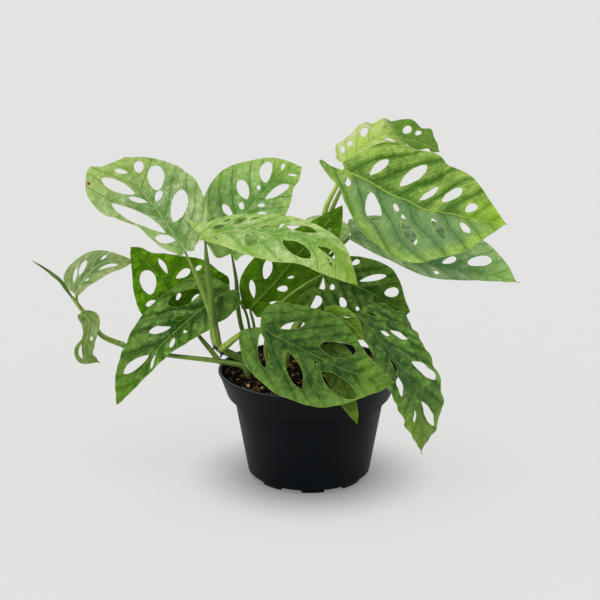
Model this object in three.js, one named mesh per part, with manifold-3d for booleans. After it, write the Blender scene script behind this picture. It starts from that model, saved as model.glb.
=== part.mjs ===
// Potted swiss cheese vine: a Monstera adansonii in a squat 15 cm nursery pot.
// Millimetres, +Z up. The origin is the centre of the pot's base, on the surface it stands on.
// +X is to the right and +Y is away from someone who faces the plant.
import * as THREE from 'three';
import { mergeVertices } from 'three/addons/utils/BufferGeometryUtils.js';
import Module from 'manifold-3d';

const wasm = await Module();
wasm.setup();

// Pot: a tapered cup with a stepped, flared rim band
const pot = {
  height: 92,
  rimRadius: 75,
  lipHeight: 1.9,
  lipOverhang: 0.7,
  lipWidth: 2.2,
  bandHeight: 24,
  bandFootRadius: 66.9,
  wallTopRadius: 62,
  footRadius: 50,
  footBevel: 2.5,
  edgeBevel: 0.4,
  floorBevel: 2,
  wallThickness: 1.5,
  floorThickness: 2,
  segments: 60,
};
const drain = { count: 8, width: 18, height: 2.5, innerRadius: 40, firstAngle: -109 };

// Potting mix: it fills the pot and ends a little below the rim
const soil = {
  edgeHeight: 88,
  domeHeight: 1.6,
  clearance: 0.35,
  lumpHeight: 1.3,
  rings: 8,
  segments: 44,
  seed: 11,
};

// Leaves: how thick a blade is, and how finely its flat outline is cut
const blade = { thickness: 0.9, outlineSteps: 20, midribSteps: 6 };
// The half width of a leaf is listed at these shares of its length, from the stalk to the tip
const stations = [0, 0.08, 0.2, 0.35, 0.5, 0.65, 0.8, 0.92];
const edgeWave = { height: 1.3, length: 46, fullWidth: 40, rightShift: 1.3 };

// Every leaf is drawn flat, then bent over its midrib.
// midrib: points in space from the stalk to the tip. topSide: where the upper face looks,
// at the stalk and at the tip. fold: degrees that the left and right half are raised.
// lobe: points [along, out] of the heart-shaped base. widths: half widths at the stations.
// shoulder: points past the last station, where a side reaches further than the tip.
// holes: [along the midrib, out from it, length, width, slant in degrees to the midrib].
const leaves = {
  "leaf_upper_left": {
    "midrib": [[-101, 4, 191], [-110, 14, 201], [-124, 30, 217], [-139, 45, 232], [-154, 62, 257]],
    "topSide": [[0, -70, 72], [0, -70, 72]], "fold": [0, 0],
    "left": { "lobe": [[-3, 5]], "widths": [7, 12, 17, 20, 27, 38, 42, 39],
      "shoulder": [[106, 31], [103, 20]] },
    "right": { "lobe": [[-4, 6]], "widths": [10, 24, 33, 39, 42, 41, 33, 17] },
    "leftHoles": [[18, 8, 16, 8, 50], [47, 16, 53, 11, 25], [63, 7, 16, 5, 40], [81, 16, 30, 10, 40],
      [92, 8, 11, 4, 55]],
    "rightHoles": [[39, 17, 31, 13, 45], [57, 9, 11, 6, 50], [74, 16, 25, 14, 20], [90, 7, 11, 8, 20]],
  },
  "leaf_upper_middle": {
    "midrib": [[-65, 38, 180], [-52, 56, 211], [-37, 68, 227], [-23, 78, 239], [-6, 84, 244]],
    "topSide": [[-10, -70, 70], [0, -70, 70]], "fold": [0, 0],
    "left": { "lobe": [[-7, 10]], "widths": [20, 30, 36, 41, 42, 37, 23, 10] },
    "right": { "lobe": [[-5, 6]], "widths": [9, 18, 26, 31, 30, 25, 18, 12] },
    "leftHoles": [[33, 16, 15, 5, 65], [41, 7, 7, 4, 50], [53, 15, 20, 9, 60], [62, 6, 5, 3, 45],
      [76, 11, 19, 10, 45], [89, 6, 7, 3, 50]],
    "rightHoles": [[43, 12, 8, 4, 50], [50, 7, 6, 4, 50], [70, 9, 27, 8, 15], [92, 5, 8, 3, 25]],
  },
  "leaf_front_upper": {
    "midrib": [[-84, -14, 208], [-59, -20, 214], [-35, -28, 214], [-16, -35, 214], [2, -42, 212],
      [21, -50, 204], [38, -57, 179]],
    "topSide": [[-20, -55, 80], [10, -35, 93]], "fold": [0, 0],
    "left": { "lobe": [[-8, 8], [-19, 25], [-10, 17]], "widths": [14, 16, 18, 21, 21, 16, 10, 4] },
    "right": { "lobe": [[-4, 3]], "widths": [5, 12, 21, 28, 32, 32, 28, 14] },
    "leftHoles": [[11, 6, 12, 5, 0], [18, 12, 6, 3, 15], [28, 10, 12, 6, 40], [39, 14, 9, 3, 35],
      [50, 6, 9, 3, 30], [61, 8, 10, 4, 60], [79, 9, 25, 8, 0]],
    "rightHoles": [[10, 5, 8, 2, 40], [43, 11, 17, 10, 50], [52, 4, 6, 2, 20], [85, 15, 35, 13, 25],
      [108, 6, 18, 7, 0], [117, 13, 8, 3, 10]],
  },
  "leaf_left_back": {
    "midrib": [[-100, 42, 117], [-115, 36, 140], [-122, 32, 157], [-132, 27, 173], [-147, 21, 190]],
    "topSide": [[-20, 95, 25], [-20, 95, 25]], "fold": [0, 0],
    "left": { "lobe": [[-8, 18]], "widths": [38, 45, 50, 48, 41, 25, 10, 6] },
    "right": { "lobe": [[-3, 5]], "widths": [8, 14, 24, 28, 27, 23, 15, 7] },
    "leftHoles": [[15, 35, 9, 5, 90], [18, 17, 9, 5, 75], [28, 6, 7, 4, 50], [44, 31, 8, 3, 80],
      [45, 18, 14, 6, 85], [59, 8, 15, 4.4, 8]],
    "rightHoles": [[34, 17, 9, 4, 90], [53, 10.5, 25, 13.5, -18]],
  },
  "leaf_left_drooping": {
    "midrib": [[-66, 22, 153], [-78, 19, 146], [-91, 15, 137], [-126, 6, 106], [-160, -4, 61]],
    "topSide": [[-35, -85, 40], [-40, -85, 40]], "fold": [0, 0],
    "left": { "lobe": [[-6, 5]], "widths": [16, 19, 19, 16, 12, 9, 6, 3] },
    "right": { "lobe": [[-2, 4]], "widths": [7, 24, 30, 32, 32, 27, 21, 11] },
    "leftHoles": [[38, 7, 5, 2, 10], [49, 6, 7, 3, 10], [65, 6, 9, 4, 25], [88, 4, 13, 3, 20]],
    "rightHoles": [[33, 17, 30, 12, 20], [47, 6, 8, 4, 35], [65, 11, 19, 7, 35], [99, 7, 27, 8, 20]],
  },
  "leaf_runner": {
    "midrib": [[-194, 22, 149], [-188, 24, 160], [-180, 26, 169], [-171, 28, 175], [-160, 30, 177],
      [-146, 31, 175]],
    "topSide": [[-10, -50, 85], [10, -50, 85]], "fold": [0, 0],
    "left": { "lobe": [[0, 5]], "widths": [13, 19, 21, 20, 18, 12, 6, 3] },
    "right": { "lobe": [[1, 2]], "widths": [3, 5, 8, 12, 14, 14, 12, 6] },
    "leftHoles": [[12, 10, 12, 4, 35], [20, 9, 13, 6, 30], [38, 5, 6, 3, 35]],
    "rightHoles": [[16, 3, 5, 2, 20], [39, 6, 20, 4, 5]],
  },
  "leaf_runner_hanging": {
    "midrib": [[-190, 20, 133], [-183, 16, 128], [-184, 12, 117], [-187, 10, 106], [-184, 10, 97],
      [-176, 12, 93]],
    "topSide": [[-60, -70, 20], [-60, -70, 20]], "fold": [0, 0],
    "left": { "lobe": [[-1, 3]], "widths": [4, 8, 12, 12, 11, 11, 8, 4] },
    "right": { "lobe": [[-1, 3]], "widths": [5, 8, 9, 7, 6, 11, 13, 5] },
    "leftHoles": [[24, 6, 4, 3, 60]],
    "rightHoles": [[36, 5, 12, 4, 15]],
  },
  "leaf_centre_back": {
    "midrib": [[-49, 24, 136], [-27, 20, 161], [-8, 15, 186], [10, 12, 207], [27, 8, 228]],
    "topSide": [[30, 90, 10], [30, 90, 10]], "fold": [0, 0],
    "left": { "lobe": [[-1, 8]], "widths": [10, 19, 24, 27, 25, 19, 16, 8] },
    "right": { "lobe": [[-5, 5]], "widths": [10, 21, 26, 26, 22, 16, 9, 4] },
    "leftHoles": [[18, 11, 8, 3, 45], [32, 8, 9, 5, 40], [44, 7, 6, 2, 35], [97, 5, 5, 3, 35]],
    "rightHoles": [[14, 10, 16, 5, 50], [36, 12, 18, 8, 25]],
  },
  "leaf_right_large": {
    "midrib": [[31, 12, 255], [50, 7, 247], [64, 3, 239], [79, -2, 234], [92, -6, 228],
      [112, -12, 226], [129, -18, 223], [155, -27, 221]],
    "topSide": [[0, -70, 70], [10, -60, 75]], "fold": [0, 0],
    "left": { "lobe": [[-7, 6]], "widths": [17, 36, 48, 52, 51, 46, 31, 13] },
    "right": { "lobe": [[-14, 3], [-23, 6], [-14, 9]], "widths": [17, 28, 38, 50, 52, 50, 36, 15] },
    "leftHoles": [[20, 16, 22, 7, 75], [48, 24, 30, 11, 70], [68, 15, 22, 6, 60], [87, 18, 21, 9, 60],
      [105, 10, 11, 8, 55]],
    "rightHoles": [[4, 9, 9, 5, 55], [33, 19, 26, 12, 55], [49, 11, 9, 4, 50], [65, 25, 27, 8, 50],
      [86, 18, 26, 7, 50], [106, 11, 13, 6, 45]],
  },
  "leaf_right_lower": {
    "midrib": [[35, 26, 199], [66, 18, 188], [99, 9, 178], [135, 2, 174], [168, -6, 168]],
    "topSide": [[0, -55, 80], [10, -55, 80]], "fold": [0, 0],
    "left": { "lobe": [[-8, 13]], "widths": [21, 29, 37, 44, 46, 42, 31, 16] },
    "right": { "lobe": [[-2, 3]], "widths": [5, 7, 9, 11, 13, 12, 8, 4] },
    "leftHoles": [[30, 18, 18, 7, 60], [56, 24, 22, 9, 55], [84, 8, 13, 7, 40], [108, 12, 20, 11, 30]],
    "rightHoles": [[76, 7, 5, 3, 30]],
  },
  "leaf_top_young": {
    "midrib": [[32, 44, 257], [45, 50, 268], [56, 55, 275], [68, 60, 276], [80, 66, 272],
      [95, 72, 267], [111, 76, 259]],
    "topSide": [[-30, -60, 70], [10, -50, 80]], "fold": [0, 0],
    "left": { "lobe": [[-5, 6]], "widths": [17, 20, 20, 19, 19, 23, 23, 17] },
    "right": { "lobe": [[-2, 3]], "widths": [6, 8, 10, 12, 11, 9, 7, 4] },
    "leftHoles": [[5, 12, 7, 4, 60], [13, 12, 6, 5, 60], [27, 11, 9, 6, 50], [64, 11, 13, 6, 50],
      [74, 11, 10, 4, 55]],
    "rightHoles": [[42, 6, 12, 4, 10]],
  },
  "leaf_front_large": {
    "midrib": [[-39, -42, 140], [-24, -50, 134], [-11, -57, 129], [6, -64, 123], [18, -70, 118],
      [37, -77, 113], [65, -86, 109]],
    "topSide": [[0, -80, 60], [10, -80, 60]], "fold": [0, 0],
    "left": { "lobe": [[-6, 13]], "widths": [26, 29, 34, 37, 34, 27, 15, 6] },
    "right": { "lobe": [[-8, 5], [-12, 13]], "widths": [27, 34, 38, 42, 40, 34, 21, 10] },
    "leftHoles": [[22, 14, 20, 7, 40], [65, 13, 31, 14, 15]],
    "rightHoles": [[13, 16, 30, 8, 50], [42, 18, 37, 11, 40], [54, 5, 3, 2, 25], [78, 14, 33, 13, 20]],
  },
  "leaf_front_small": {
    "midrib": [[13, -42, 125], [19, -57, 113], [26, -71, 99], [33, -79, 85], [37, -82, 74]],
    "topSide": [[0, -70, 60], [0, -80, 50]], "fold": [0, 0],
    "left": { "lobe": [[-3, 5]], "widths": [9, 14, 17, 16, 13, 8, 5, 3] },
    "right": { "lobe": [[-3, 4]], "widths": [6, 8, 10, 10, 9, 8, 6, 3] },
    "leftHoles": [[24, 7, 11, 4, 50]],
    "rightHoles": [],
  },
  "leaf_right_drooping": {
    "midrib": [[40, -22, 144], [61, -38, 123], [72, -45, 109], [82, -50, 94], [87, -52, 80],
      [90, -51, 61], [91, -47, 37]],
    "topSide": [[40, -60, 65], [50, -75, 40]], "fold": [0, 0],
    "left": { "lobe": [[-4, 8]], "widths": [26, 33, 37, 32, 29, 28, 21, 13] },
    "right": { "lobe": [[-3, 4]], "widths": [6, 9, 14, 20, 22, 20, 15, 6] },
    "leftHoles": [[4, 10, 10, 4, 40], [24, 8, 8, 4, 30], [31, 18, 16, 6, 25], [66, 18, 24, 9, 30],
      [99, 8, 27, 7, 20]],
    "rightHoles": [[50, 5, 14, 3, 10], [66, 11, 20, 5, 20], [96, 6, 11, 3, 5]],
  },
  "leaf_middle_right": {
    "midrib": [[11, 6, 171], [29, 5, 165], [48, 3, 157], [66, 2, 147], [83, 2, 140]],
    "topSide": [[10, -90, 40], [20, -85, 45]], "fold": [0, 0],
    "left": { "lobe": [[-3, 5]], "widths": [9, 14, 21, 25, 27, 26, 19, 7] },
    "right": { "lobe": [[4, 7], [5, 12], [-5, 14], [-14, 29]], "widths": [38, 38, 34, 28, 25, 24, 19, 11] },
    "leftHoles": [[22, 18, 7, 4, 55], [39, 12, 23, 5, 40], [58, 9, 13, 8, 35]],
    "rightHoles": [[1, 25, 14, 9, -60], [11, 8, 5, 4, 75], [24, 17, 9, 6, 45], [38, 17, 4, 3, 35]],
  },
  "leaf_middle_small": {
    "midrib": [[12, -26, 148], [22, -31, 145], [33, -36, 140], [43, -42, 130]],
    "topSide": [[0, -70, 70], [0, -70, 70]], "fold": [0, 0],
    "left": { "lobe": [[-2, 4]], "widths": [6, 8, 10, 11, 10, 8, 5, 2] },
    "right": { "lobe": [[-2, 4]], "widths": [6, 10, 14, 15, 15, 13, 9, 5] },
    "leftHoles": [[18, 5, 5, 3, 50]],
    "rightHoles": [],
  },
  "leaf_back_pale": {
    "midrib": [[-2, 46, 196], [11, 50, 195], [24, 54, 195], [37, 57, 197]],
    "topSide": [[0, -60, 70], [0, -60, 70]], "fold": [0, 0],
    "left": { "lobe": [[-2, 5]], "widths": [11, 15, 17, 18, 17, 15, 11, 6] },
    "right": { "lobe": [[-2, 5]], "widths": [8, 11, 14, 16, 14, 12, 9, 4] },
    "leftHoles": [[20, 8, 9, 4, 55]],
    "rightHoles": [[14, 7, 7, 3, 55]],
  },
};

// Stalks: each vine is a few tubes that grow from one another.
// path: points in space. radii: from the first point to the last, evenly spread.
// A stalk that ends at a leaf names it, and stops just under the base of that leaf.
const vines = {
  "vine_left": [
    { "path": [[-48, -1, 77], [-48, -1, 89], [-53, 0.2, 97.4], [-62, 0.3, 102.8], [-73, 0, 108]],
      "radii": [3.4, 3.2, 3.2] },
    { "path": [[-70, 2, 105], [-76, -1, 114], [-79, -3, 138]], "radii": [3.4, 4.4, 3.2] },
    { "path": [[-78, -3, 130], [-83, -2, 147], [-91, 1, 168]], "radii": [2.6, 2, 1.7],
      "leaf": "leaf_upper_left" },
    { "path": [[-78, -3, 130], [-80, -5, 152], [-82, -9, 176]], "radii": [2.8, 2.4, 1.8],
      "leaf": "leaf_front_upper" },
    { "path": [[-72, 0, 108], [-58, -18, 125], [-48, -30, 134]], "radii": [3.2, 2.2, 1.7],
      "leaf": "leaf_front_large" },
    { "path": [[-77, -1, 111], [-80, -3, 108.5]], "radii": [1.3, 0.6] },
    { "path": [[-72, -1, 105], [-73, -3, 101.5]], "radii": [1.3, 0.6] },
  ],
  "vine_runner": [
    { "path": [[-50, -10, 77], [-50, -10, 88], [-54, -8, 96], [-64, -2, 96.5], [-75, 4, 96.5]],
      "radii": [2.6, 2.4] },
    { "path": [[-74, 4, 96.5], [-95, 10, 97], [-117, 15, 98], [-137, 18, 101], [-156, 21, 105]],
      "radii": [2.2, 1.9, 2.1] },
    { "path": [[-155, 21, 105], [-171, 23, 111], [-178, 24, 118], [-187, 25, 131], [-193, 24, 140],
      [-197, 21, 147]], "radii": [2.6, 2.2, 1.9, 1.5] },
    { "path": [[-74, 3, 96], [-82, 16, 102], [-92, 31, 109]], "radii": [2.5, 1.9, 1.5],
      "leaf": "leaf_left_back" },
    { "path": [[-191, 24.5, 137], [-193, 24, 142]], "radii": [1.3, 0.9], "leaf": "leaf_runner" },
    { "path": [[-186, 25, 129], [-189, 24, 132]], "radii": [1.5, 1], "leaf": "leaf_runner_hanging" },
  ],
  "vine_centre": [
    { "path": [[-47, 39, 77], [-47, 39, 86], [-48, 39, 95]], "radii": [3, 3.2, 2.6] },
    { "path": [[-48, 39, 90], [-52, 42, 101], [-57, 44, 113], [-60, 44, 131], [-61, 43, 153],
      [-63, 42, 168]], "radii": [2.4, 1.8, 1.5], "leaf": "leaf_upper_middle" },
    { "path": [[-48, 38, 90], [-49, 30, 109], [-52, 22, 131], [-58, 21, 144]], "radii": [2, 1.4, 1.2],
      "leaf": "leaf_left_drooping" },
    { "path": [[-47, 38, 90], [-45, 31, 104], [-46, 22, 122]], "radii": [2.2, 1.6, 1.4],
      "leaf": "leaf_centre_back" },
  ],
  "vine_middle": [
    { "path": [[-33, 10, 76], [-33, 10, 87], [-36, 11, 104], [-33, 11, 124], [-22, 8, 146],
      [-5, 5, 161]], "radii": [2, 1.9, 1.7, 1.4], "leaf": "leaf_middle_right" },
  ],
  "vine_right": [
    { "path": [[-21, 5, 75], [-21, 5, 86], [-20, 8, 98], [-14, 13, 116], [-3, 19, 138], [7, 23, 159],
      [13, 30, 178], [14, 35, 196], [12, 36, 212]], "radii": [4, 3.8, 3.5, 3.2, 2.4] },
    { "path": [[12, 35, 210], [15, 37, 222], [23, 41, 237]], "radii": [2.3, 1.9, 1.5],
      "leaf": "leaf_top_young" },
    { "path": [[13.5, 34, 201], [19, 30, 220], [26, 22, 238]], "radii": [2.6, 2.1, 1.7],
      "leaf": "leaf_right_large" },
    { "path": [[12.5, 31.5, 172], [21, 31, 183], [29, 30, 191]], "radii": [2, 1.6, 1.4],
      "leaf": "leaf_right_lower" },
    { "path": [[12.5, 31.5, 174], [8, 38, 179], [1, 43, 187]], "radii": [1.6, 1.3, 1.1],
      "leaf": "leaf_back_pale" },
  ],
  "vine_front": [
    { "path": [[-4, 12, 75], [-4, 12, 84], [1, 5, 103], [17, -6, 124], [31, -15, 138]],
      "radii": [2.6, 2.4, 1.9, 1.5], "leaf": "leaf_right_drooping" },
    { "path": [[-3, 9, 92], [0, -6, 104], [6, -24, 113]], "radii": [1.8, 1.4, 1.1],
      "leaf": "leaf_front_small" },
    { "path": [[4, 3, 107], [7, -6, 123], [10, -18, 139]], "radii": [1.6, 1.3, 1.1],
      "leaf": "leaf_middle_small" },
  ],
};
const stalk = { sides: 7, stepLength: 9, tipRadius: 0.6, gapToLeaf: 0.35, socketGap: 0.6 };

// Rolled new leaf: a thin spindle at the end of the runner
const newLeaf = {
  path: [[-197.3, 20.7, 147.6], [-201, 17, 155], [-205, 14, 163], [-212, 12, 170], [-219, 10, 176],
    [-226, 9, 181]],
  radii: [0.9, 2, 2.1, 1.8, 1.2, 0.3],
};

const colours = {
  pot: 0x17191d,
  soil: 0x3a2a20,
  stalk: 0x6f8f2e,
  youngLeaf: 0x8fb84a,
  leaf: 0x4f8f3a,
  darkLeaf: 0x2f6a2a,
  paleLeaf: 0x86ad74,
  newLeaf: 0x4a5a2a,
};
const leafColours = {
  leaf_upper_left: colours.paleLeaf,
  leaf_front_upper: colours.youngLeaf,
  leaf_top_young: colours.youngLeaf,
  leaf_runner: colours.youngLeaf,
  leaf_left_back: colours.darkLeaf,
  leaf_centre_back: colours.darkLeaf,
  leaf_left_drooping: colours.darkLeaf,
  leaf_back_pale: colours.paleLeaf,
};

const vector = (point) => new THREE.Vector3(...point);
const radians = THREE.MathUtils.degToRad;

function seededRandom(seed) {
  let state = seed;
  return () => {
    state = (state * 16807) % 2147483647;
    return state / 2147483647;
  };
}

function meshGeometry(points, triangles) {
  const geometry = new THREE.BufferGeometry();
  geometry.setAttribute('position', new THREE.Float32BufferAttribute(points.flat(), 3));
  geometry.setIndex(triangles.flat());
  return geometry;
}

// Solids for joining and cutting
function toSolid(geometry) {
  const bare = geometry.clone();
  bare.deleteAttribute('normal');
  bare.deleteAttribute('uv');
  const merged = mergeVertices(bare, 1e-4);
  return new wasm.Manifold(new wasm.Mesh({
    numProp: 3,
    vertProperties: new Float32Array(merged.attributes.position.array),
    triVerts: new Uint32Array(merged.index.array),
  }));
}

function toGeometry(solid) {
  const mesh = solid.getMesh();
  const geometry = new THREE.BufferGeometry();
  const positions = [];
  for (let i = 0; i < mesh.vertProperties.length; i += mesh.numProp) {
    positions.push(...mesh.vertProperties.slice(i, i + 3));
  }
  geometry.setAttribute('position', new THREE.Float32BufferAttribute(positions, 3));
  geometry.setIndex(Array.from(mesh.triVerts));
  return geometry;
}

function fuse(geometries) {
  return geometries.map(toSolid).reduce((whole, next) => whole.add(next));
}

// Leaf outline, drawn flat: one half, from the stalk round the lobe to the tip
function halfOutline(length, half) {
  const points = [[0, 0], ...half.lobe];
  stations.forEach((share, i) => points.push([share * length, half.widths[i]]));
  points.push(...(half.shoulder ?? []), [length, 0]);
  const spline = new THREE.SplineCurve(points.map(([x, y]) => new THREE.Vector2(x, y)));
  return spline.getPoints(blade.outlineSteps);
}

// One hole: an egg with its narrow end towards the midrib
function holeOutline([along, out, length, width, slant]) {
  const sides = length > 14 ? 10 : 8;
  const turn = radians(slant);
  return Array.from({ length: sides }, (_, i) => {
    const angle = 2 * Math.PI * i / sides;
    const u = Math.cos(angle) * length / 2;
    const v = Math.sin(angle) * width / 2 * (1 + 0.2 * Math.cos(angle));
    return new THREE.Vector2(
      along + u * Math.cos(turn) - v * Math.sin(turn),
      out + u * Math.sin(turn) + v * Math.cos(turn),
    );
  });
}

// Edge flips until no corner of a neighbour lies in a triangle's circle, so triangles are compact
function makeCompact(points, triangles) {
  const side = (a, b, c) => (points[b].x - points[a].x) * (points[c].y - points[a].y)
    - (points[b].y - points[a].y) * (points[c].x - points[a].x);
  const cosineAt = (a, b, c) => {
    const toB = points[b].clone().sub(points[a]);
    const toC = points[c].clone().sub(points[a]);
    return toB.dot(toC) / (toB.length() * toC.length());
  };
  const maxRounds = 60;
  for (let round = 0; round < maxRounds; round += 1) {
    let changed = false;
    const owner = new Map();
    triangles.forEach((triangle, index) => {
      triangle.forEach((a, k) => owner.set(`${a},${triangle[(k + 1) % 3]}`, index));
    });
    const touched = new Set();
    for (const [key, index] of owner) {
      const [a, b] = key.split(',').map(Number);
      const other = owner.get(`${b},${a}`);
      if (other === undefined || a > b || touched.has(index) || touched.has(other)) continue;
      const c = triangles[index].find((v) => v !== a && v !== b);
      const d = triangles[other].find((v) => v !== a && v !== b);
      const angles = Math.acos(cosineAt(c, a, b)) + Math.acos(cosineAt(d, a, b));
      if (angles <= Math.PI + 1e-4 || side(d, c, a) * side(d, c, b) >= 0) continue;
      if (Math.abs(side(c, a, d)) < 0.02 || Math.abs(side(c, d, b)) < 0.02) continue;
      triangles[index] = [c, a, d];
      triangles[other] = [c, d, b];
      touched.add(index);
      touched.add(other);
      changed = true;
    }
    if (!changed) break;
  }
  return triangles;
}

// Flat triangles of one half of a leaf, in [along, across] with across positive on the left
function halfTriangles(length, half, holes, across) {
  const place = (point) => new THREE.Vector2(point.x, point.y * across);
  const contour = halfOutline(length, half).map(place);
  for (let i = blade.midribSteps - 1; i > 0; i -= 1) {
    contour.push(new THREE.Vector2(length * i / blade.midribSteps, 0));
  }
  const openings = holes.map((hole) => holeOutline(hole).map(place));
  const faces = THREE.ShapeUtils.triangulateShape(contour, openings);
  const points = [...contour, ...openings.flat()];
  const turned = faces.map(([a, b, c]) => {
    const area = (points[b].x - points[a].x) * (points[c].y - points[a].y)
      - (points[b].y - points[a].y) * (points[c].x - points[a].x);
    return area > 0 ? [a, b, c] : [a, c, b];
  });
  return { points, triangles: makeCompact(points, turned) };
}

// The bent surface of a leaf: flat [along, across] to a point in space
function leafSurface(leaf) {
  const curve = new THREE.CatmullRomCurve3(leaf.midrib.map(vector), false, 'catmullrom', 0.5);
  const length = curve.getLength();
  const hints = leaf.topSide.map((hint) => vector(hint).normalize());
  const point = (along, across) => {
    const share = Math.min(Math.max(along / length, 0), 1);
    const tangent = curve.getTangentAt(share);
    const centre = curve.getPointAt(share).addScaledVector(tangent, along - share * length);
    const up = hints[0].clone().lerp(hints[1], share);
    up.addScaledVector(tangent, -up.dot(tangent)).normalize();
    const sideways = new THREE.Vector3().crossVectors(up, tangent);
    const out = Math.abs(across);
    const fold = radians(leaf.fold[across > 0 ? 0 : 1]);
    const phase = across > 0 ? 0 : edgeWave.rightShift;
    const wave = edgeWave.height * (out / edgeWave.fullWidth) ** 2
      * Math.sin(2 * Math.PI * along / edgeWave.length + phase);
    return centre
      .addScaledVector(sideways, across * Math.cos(fold))
      .addScaledVector(up, out * Math.sin(fold) + wave);
  };
  const normal = (along, across) => {
    const step = 0.2;
    const forward = point(along + step, across).sub(point(along - step, across));
    const leftward = point(along, across + step).sub(point(along, across - step));
    return forward.cross(leftward).normalize();
  };
  return { length, point, normal };
}

// Leaf blade: both faces are split alike, so the thickness is even
function bladeGeometry(leaf) {
  const surface = leafSurface(leaf);
  const indexOf = new Map();
  const flat = [];
  const triangles = [];
  const halves = [
    halfTriangles(surface.length, leaf.left, leaf.leftHoles, 1),
    halfTriangles(surface.length, leaf.right, leaf.rightHoles, -1),
  ];
  for (const half of halves) {
    const ids = half.points.map((point) => {
      const key = `${point.x.toFixed(4)},${(point.y + 0).toFixed(4).replace('-0.0000', '0.0000')}`;
      if (!indexOf.has(key)) {
        indexOf.set(key, flat.length);
        flat.push(point);
      }
      return indexOf.get(key);
    });
    half.triangles.forEach((triangle) => triangles.push(triangle.map((i) => ids[i])));
  }
  const faces = [1, -1].map((face) => flat.map(({ x, y }) => surface.point(x, y)
    .addScaledVector(surface.normal(x, y), face * blade.thickness / 2).toArray()));
  const count = flat.length;
  const all = [];
  const edges = new Set();
  for (const [a, b, c] of triangles) {
    all.push([a, b, c], [a + count, c + count, b + count]);
    [[a, b], [b, c], [c, a]].forEach(([from, to]) => edges.add(`${from},${to}`));
  }
  for (const edge of edges) {
    const [from, to] = edge.split(',').map(Number);
    if (edges.has(`${to},${from}`)) continue;
    all.push([to, from, from + count], [to, from + count, to + count]);
  }
  return meshGeometry([...faces[0], ...faces[1]], all);
}

// A tube whose radius changes along its path, closed by a fan at each end
function taperedTube(path, radii) {
  const curve = new THREE.CatmullRomCurve3(path.map(vector), false, 'catmullrom', 0.5);
  const steps = Math.max(2, Math.round(curve.getLength() / stalk.stepLength));
  const frames = curve.computeFrenetFrames(steps, false);
  const points = [];
  const triangles = [];
  for (let i = 0; i <= steps; i += 1) {
    const share = i / steps * (radii.length - 1);
    const from = Math.min(Math.floor(share), radii.length - 2);
    const radius = THREE.MathUtils.lerp(radii[from], radii[from + 1], share - from);
    const centre = curve.getPointAt(i / steps);
    for (let k = 0; k < stalk.sides; k += 1) {
      const angle = 2 * Math.PI * k / stalk.sides;
      points.push(centre.clone()
        .addScaledVector(frames.normals[i], radius * Math.cos(angle))
        .addScaledVector(frames.binormals[i], radius * Math.sin(angle)).toArray());
    }
  }
  for (let i = 0; i < steps; i += 1) {
    for (let k = 0; k < stalk.sides; k += 1) {
      const a = i * stalk.sides + k;
      const b = i * stalk.sides + (k + 1) % stalk.sides;
      triangles.push([a, b, b + stalk.sides], [a, b + stalk.sides, a + stalk.sides]);
    }
  }
  const last = steps * stalk.sides;
  for (let k = 1; k < stalk.sides - 1; k += 1) {
    triangles.push([0, k + 1, k], [last, last + k, last + k + 1]);
  }
  return meshGeometry(points, triangles);
}

// A stalk that carries a leaf stops just under the base of the blade
function stalkPath(part) {
  if (!part.leaf) return part.path;
  const surface = leafSurface(leaves[part.leaf]);
  const under = blade.thickness / 2 + stalk.gapToLeaf + stalk.tipRadius;
  const tip = surface.point(0, 0).addScaledVector(surface.normal(0.5, 0), -under);
  return [...part.path, tip.toArray()];
}

function stalkGeometry(part) {
  const radii = part.leaf ? [...part.radii, stalk.tipRadius] : part.radii;
  return taperedTube(stalkPath(part), radii);
}

function wallRadius(height) {
  const share = (height - pot.footBevel) / (pot.height - pot.bandHeight - pot.footBevel);
  return THREE.MathUtils.lerp(pot.footRadius, pot.wallTopRadius, share);
}

function bandRadius(height) {
  const share = (height - (pot.height - pot.bandHeight)) / pot.bandHeight;
  return THREE.MathUtils.lerp(pot.bandFootRadius, pot.rimRadius - pot.lipOverhang, share);
}

function potSolid() {
  const bandFoot = pot.height - pot.bandHeight;
  const lipFoot = pot.height - pot.lipHeight;
  const floorEdge = pot.floorThickness + pot.floorBevel;
  const inner = pot.wallThickness;
  const bevel = pot.edgeBevel;
  const profile = [
    [0, 0],
    [pot.footRadius - pot.footBevel, 0],
    [pot.footRadius - pot.footBevel * 0.3, pot.footBevel * 0.3],
    [pot.footRadius, pot.footBevel],
    [pot.wallTopRadius, bandFoot - bevel * 2],
    [pot.bandFootRadius - bevel, bandFoot - bevel],
    [pot.bandFootRadius, bandFoot + bevel],
    [bandRadius(lipFoot), lipFoot],
    [pot.rimRadius, lipFoot + bevel],
    [pot.rimRadius, pot.height - bevel],
    [pot.rimRadius - bevel, pot.height],
    [pot.rimRadius - pot.lipWidth, pot.height],
    [bandRadius(bandFoot) - inner, bandFoot + inner],
    [pot.wallTopRadius - inner, bandFoot],
    [wallRadius(floorEdge) - inner, floorEdge],
    [pot.footRadius - inner - pot.floorBevel, pot.floorThickness],
    [0, pot.floorThickness],
  ];
  const cup = new THREE.LatheGeometry(profile.map(([r, z]) => new THREE.Vector2(r, z)), pot.segments);
  cup.rotateX(Math.PI / 2);
  let solid = toSolid(cup);
  const reach = pot.rimRadius - drain.innerRadius;
  for (let i = 0; i < drain.count; i += 1) {
    const notch = new THREE.BoxGeometry(reach, drain.width, drain.height * 2);
    notch.translate(drain.innerRadius + reach / 2, 0, 0);
    notch.rotateZ(radians(drain.firstAngle + 360 * i / drain.count));
    solid = solid.subtract(toSolid(notch));
  }
  return solid;
}

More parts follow.
